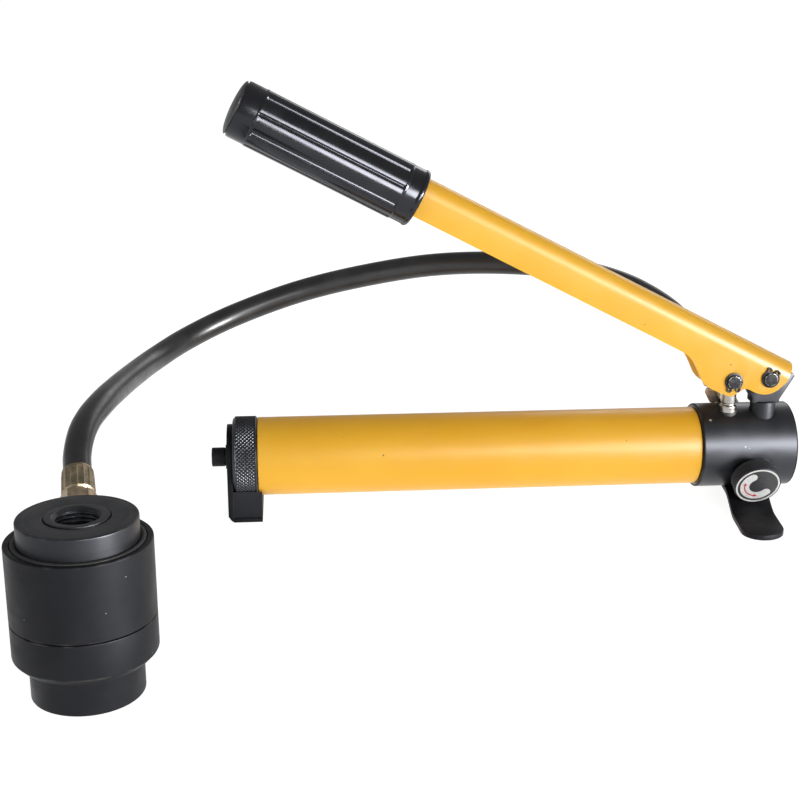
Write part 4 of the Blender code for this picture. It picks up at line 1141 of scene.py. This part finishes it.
def pins():
    """Pivot pin and plunger pin, each held by a clip on both sides."""
    steel = (dark_steel("dark_pins"), dark_steel("dark_pins_edge", worn_edge=True))
    clip_steel = (dark_steel("dark_clips"), dark_steel("dark_clips_edge", worn_edge=True))
    start = LEVER_HALF_WIDTH + GAP
    for name, x, z, middle_r, turn in (
            ("pivot", PIVOT_X, PIVOT_Z, PIN_R, radians(70)),
            ("plunger", PIVOT_X - PIN_ARM, PIVOT_Z - PIN_DROP, SLOT_PIN_R, radians(-90))):
        pin = turned(name + "_pin_fine", pin_profile(middle_r), frame_at((x, LINK_Y, z), ALONG_Y),
                     SMALL_ROUND, 0.45)
        dress(pin, "hand_lever", "dark_steel", steel, name + "_pin")
        for side, low in (("front", LINK_Y - start - CLIP_THICK), ("back", LINK_Y + start)):
            node = "%s_clip_%s" % (name, side)
            clip = retaining_clip(node + "_fine", x, z, turn, low)
            dress(clip, "hand_lever", "dark_steel", clip_steel, node)


def fulcrum_post():
    """Post screwed into the head, with the fan-shaped lug the lever turns on."""
    foot, top = 45.6, 66.4
    profile = [(0, foot), (6.6, foot), (POST_R, 46.8), (POST_R, top), (0, top)]
    post = turned("fulcrum_post_fine", profile, frame_at((POST_X, LINK_Y, 0), UP), SMALL_ROUND, 0.7)
    fan = [(-8.0, -17.4), (8.8, -17.4), (9.2, -15.0), (17.6, -0.6), (16.4, 1.4), (11.0, 2.0), (6.2, 5.6),
           (3.2, 7.7), (0.0, 8.3), (-3.2, 7.7), (-6.2, 5.6), (-11.6, 0.0), (-12.0, -7.0), (-8.0, -14.0)]
    outline = [(PIVOT_X + u, PIVOT_Z + v) for u, v in fan]
    lug = slab("lug", outline, LINK_Y - LUG_HALF, LINK_Y + LUG_HALF)
    combine(lug, [rod((PIVOT_X, LINK_Y - 20, PIVOT_Z), ALONG_Y, PIN_HOLE_R, 40)], "DIFFERENCE")
    rounded_edges(lug, 0.5, 30.0)
    combine(post, [lug], "UNION")
    shade(post.data, 35.0)
    origin = (POST_X, LINK_Y, 60.0)
    looks = black_looks("black_post", origin, UP, 0.12)
    dress(post, "pump_frame", "black_finish", looks, "fulcrum_post")


def pump_plunger():
    """Ground plunger whose slotted eye follows the lever's pin."""
    pin_z = PIVOT_Z - PIN_DROP
    origin = (PLUNGER_X, LINK_Y, 0)
    groove_r = PLUNGER_NECK_R - 0.35
    profile = [(0, 30.0), (PLUNGER_R, 30.0), (PLUNGER_R, 63.5), (groove_r, 64.2), (groove_r, 65.0),
               (PLUNGER_NECK_R, 65.5), (PLUNGER_NECK_R, 76.0), (0, 76.0)]
    stem = turned("pump_plunger_fine", profile, frame_at(origin, UP), SMALL_ROUND, 0.35)
    eye = [(-7.5, -5.5), (-5.2, -7.6), (5.2, -7.6), (7.5, -5.5), (7.5, 4.0), (5.0, 6.2),
           (-5.0, 6.2), (-7.5, 4.0)]
    outline = [(PLUNGER_X + u, pin_z + v) for u, v in eye]
    block = slab("eye", outline, LINK_Y - LUG_HALF, LINK_Y + LUG_HALF)
    slot_r, reach = SLOT_PIN_R + 0.4, 1.7
    slot = arc(PLUNGER_X + reach, pin_z, slot_r, -pi / 2, pi / 2, 12)
    slot += arc(PLUNGER_X - reach, pin_z, slot_r, pi / 2, 1.5 * pi, 12)
    combine(block, [slab("cutter", slot, LINK_Y - 20, LINK_Y + 20)], "DIFFERENCE")
    rounded_edges(block, 0.4, 35.0)
    combine(stem, [block], "UNION")
    combine(stem, [slab("cutter", slot, LINK_Y - 20, LINK_Y + 20)], "DIFFERENCE")
    shade(stem.data, 35.0)
    steel = ground_steel("steel_plunger", origin, UP)
    dress(stem, "plunger", "bright_steel", steel, "pump_plunger")


# ---- hollow ram
def ram_looks(name, gloss=0.0, chips=()):
    """Black finish for a piece turned about the ram's axis, with its edges."""
    return black_looks(name, (RAM_X, RAM_Y, 0.0), UP, gloss, gloss, chips)


def insert_thread(radius, height, angle):
    """Internal thread of the draw insert."""
    if radius > INSERT_BORE_R + 0.1 or height > PISTON_TOP_Z - 1.2:
        return radius
    return radius + 0.75 * peak(height / THREAD_PITCH - angle / (2.0 * pi)) ** 1.4


def ram():
    """Hollow ram: cylinder, base with its inner sleeve, piston, threaded insert and wiper."""
    place = frame_at((RAM_X, RAM_Y, 0.0), UP)
    low = RAM_SEAM_Z + GAP
    step_z = RAM_TOP_Z - 2.6
    cylinder = [(RAM_BORE_R, low), (RAM_R, low), (RAM_R, RAM_TOP_Z), (WIPER_SEAT_R, RAM_TOP_Z),
                (WIPER_SEAT_R, step_z), (RAM_BORE_R, step_z)]
    body = turned("ram_cylinder_fine", cylinder, place, 180, 0.8)
    level = port_direction()
    port = Vector((RAM_X, RAM_Y, PORT_Z)) + level * PORT_FLOOR
    combine(body, [rod(port, level, ELBOW_R + 0.4, 12)], "DIFFERENCE")
    shade(body.data, 35.0)
    round_normals(body, (RAM_X, RAM_Y, 0.0), UP, RAM_R)
    chips = [(-187.2, -244.9, 66.3, 0.28), (-196.0, -250.8, 52.0, 0.22), (-232.0, -246.0, 48.0, 0.2)]
    dress(body, "pump_frame", "black_finish", ram_looks("black_ram", 0.0, chips), "ram_cylinder")
    floor, sleeve_top = 42.6, 74.6
    lower = [(SLEEVE_BORE_R, 0), (RAM_BASE_R, 0), (RAM_BASE_R, RAM_STEP_Z), (RAM_R - 3.2, RAM_STEP_Z),
             (RAM_R, RAM_STEP_Z + 3.4), (RAM_R, RAM_SEAM_Z), (RAM_BORE_R - GAP, RAM_SEAM_Z),
             (RAM_BORE_R - GAP, floor), (SLEEVE_OUT_R, floor), (SLEEVE_OUT_R, sleeve_top),
             (SLEEVE_BORE_R, sleeve_top)]
    base = turned("ram_base_fine", lower, place, 180, 0.55)
    dress(base, "pump_frame", "black_finish", ram_looks("black_base"), "ram_base")
    inner, pocket, skirt, seat = 13.8, 18.0, 42.9, 25.0
    piston = [(inner, skirt), (PISTON_R, skirt), (PISTON_R, 46.0), (seat, 46.0), (seat, 49.0),
              (PISTON_R, 49.0), (PISTON_R, PISTON_TOP_Z), (INSERT_R + 0.25, PISTON_TOP_Z),
              (INSERT_R + 0.25, 78.0), (pocket, 78.0), (pocket, 47.5), (inner, 47.5)]
    disc = turned("ram_piston_fine", piston, place, 180, 0.9)
    dress(disc, "piston", "black_finish", ram_looks("black_piston", 0.10), "ram_piston")
    top = PISTON_TOP_Z + 0.5
    insert = [*wall(INSERT_BORE_R, INSERT_LOW_Z, PISTON_TOP_Z - 1.1, 0.2),
              (INSERT_BORE_R + 0.6, PISTON_TOP_Z - 0.6), (INSERT_BORE_R + 1.5, top),
              (INSERT_R, top), (INSERT_R, INSERT_LOW_Z)]
    ring = turned("draw_insert_fine", insert, place, 144, 0.32, insert_thread, 40.0)
    dress(ring, "piston", "dark_steel", ram_looks("black_insert", 0.10), "draw_insert")
    inner, outer = PISTON_R + 0.25, WIPER_SEAT_R - 0.25
    lip = [(inner, 72.8), (outer, 72.8), (outer, 75.2), (28.9, 75.4), (inner, 75.0)]
    dress(turned("wiper_ring_fine", lip, place, 144, 0.25), "pump_frame", "black_rubber",
          seal_rubber("rubber_ram_wiper"), "wiper_ring")


# ---- pieces that stay as the CAD made them
def carried_over():
    """Give every CAD node that still shows the finish of its slot."""
    finishes = (
        (seal_rubber("rubber_inner"),
         "rear_cap_seal head_tube_seal plunger_seal spindle_seal piston_seal filler_washer"),
        (ground_steel("steel_inner", (0, 0, AXIS_Z), ALONG_X),
         "suction_ball delivery_ball delivery_spring return_spring release_spindle"),
        (dark_steel("dark_inner", (RAM_X, RAM_Y, 0), UP), "sleeve_nut"),
        (brass(), "suction_seat suction_filter"),
    )
    for look, nodes in finishes:
        for node in nodes.split():
            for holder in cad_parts[node].material_slots:
                holder.material = look


# ---- floor and light
SKY_LOW = 0.50
SKY_HIGH = 0.30
FLOOR_REACH = 40.0
FLOOR_Z = -0.0002
AIM = Vector((0.0, 0.0, 0.07))
# Name, azimuth, elevation, distance, size, power, and whether it shows in reflections only
SOFTBOXES = (
    ("softbox_right", 25.0, 14.0, 1.9, (1.4, 0.55), 21.0, False),
    ("sheen_right", 30.0, 17.0, 1.95, (1.8, 0.95), 14.0, True),
    ("sheen_low", 51.0, 6.0, 1.9, (0.50, 0.34), 125.0, True),
    ("sheen_grip", 14.0, 17.0, 1.9, (0.50, 0.90), 24.0, True),
    ("softbox_left", -60.0, 22.0, 1.9, (0.8, 0.6), 4.0, False),
    ("softbox_back", 150.0, 25.0, 2.0, (1.2, 0.6), 5.0, False),
)


def white_floor():
    """Plain pale floor that glows a little, as an overexposed studio floor does."""
    bm = bmesh.new()
    corners = ((-1, -1), (1, -1), (1, 1), (-1, 1))
    bm.faces.new([bm.verts.new((x * FLOOR_REACH, y * FLOOR_REACH, FLOOR_Z)) for x, y in corners])
    floor = piece_from(bm, "floor")
    look = Look("floor_white", 0.85)
    look.colour(look.tint(look.noise(0.8, 2.0), (0.35, 0.35, 0.35), (0.37, 0.37, 0.37)))
    look.set("Specular IOR Level", 0.0)
    look.set("Emission Color", (1.0, 1.0, 1.0, 1.0))
    look.set("Emission Strength", 0.90)
    floor.data.materials.append(look.material)


def surroundings():
    """Pale surroundings, a little darker towards the top."""
    world = bpy.data.worlds.new("studio")
    world.use_nodes = True
    nodes, links = world.node_tree.nodes, world.node_tree.links
    backdrop = nodes["Background"]
    backdrop.inputs["Color"].default_value = (1.0, 1.0, 1.0, 1.0)
    height = nodes.new("ShaderNodeSeparateXYZ")
    links.new(nodes.new("ShaderNodeTexCoord").outputs["Generated"], height.inputs[0])
    fade = nodes.new("ShaderNodeMapRange")
    fade.inputs["From Max"].default_value = 0.9
    fade.inputs["To Min"].default_value = SKY_LOW
    fade.inputs["To Max"].default_value = SKY_HIGH
    links.new(height.outputs[2], fade.inputs["Value"])
    links.new(fade.outputs[0], backdrop.inputs["Strength"])
    bpy.context.scene.world = world
    bpy.context.scene.view_settings.view_transform = "Standard"


def studio():
    """Floor, surroundings, three softboxes and three panels that add reflections only."""
    white_floor()
    surroundings()
    lamps = {row[0]: softbox(*row) for row in SOFTBOXES}
    lit = bpy.data.collections.new("grip_sheen")
    lit.objects.link(bpy.data.objects["grip_sleeve_fine"])
    lamps["sheen_grip"].light_linking.receiver_collection = lit


def softbox(name, azimuth, elevation, distance, size, power, gloss_only):
    """A rectangular light aimed at the part; azimuth turns from straight in front towards +X."""
    data = bpy.data.lights.new(name, "AREA")
    data.shape = "RECTANGLE"
    data.size, data.size_y = size
    data.energy = power
    lamp = bpy.data.objects.new(name, data)
    lamp.visible_diffuse = not gloss_only
    bpy.context.collection.objects.link(lamp)
    turn, rise = radians(azimuth), radians(elevation)
    away = Vector((sin(turn) * cos(rise), -cos(turn) * cos(rise), sin(rise)))
    lamp.location = AIM + away * distance
    lamp.rotation_mode = "QUATERNION"
    lamp.rotation_quaternion = away.to_track_quat("Z", "Y")
    return lamp


def build():
    """Build everything, piece by piece."""
    camera()
    hose_and_ends()
    reservoir()
    rear_cap()
    filler_plug()
    pump_head()
    front_foot()
    release_valve()
    lever()
    grip()
    pins()
    fulcrum_post()
    pump_plunger()
    ram()
    carried_over()
    studio()


build()
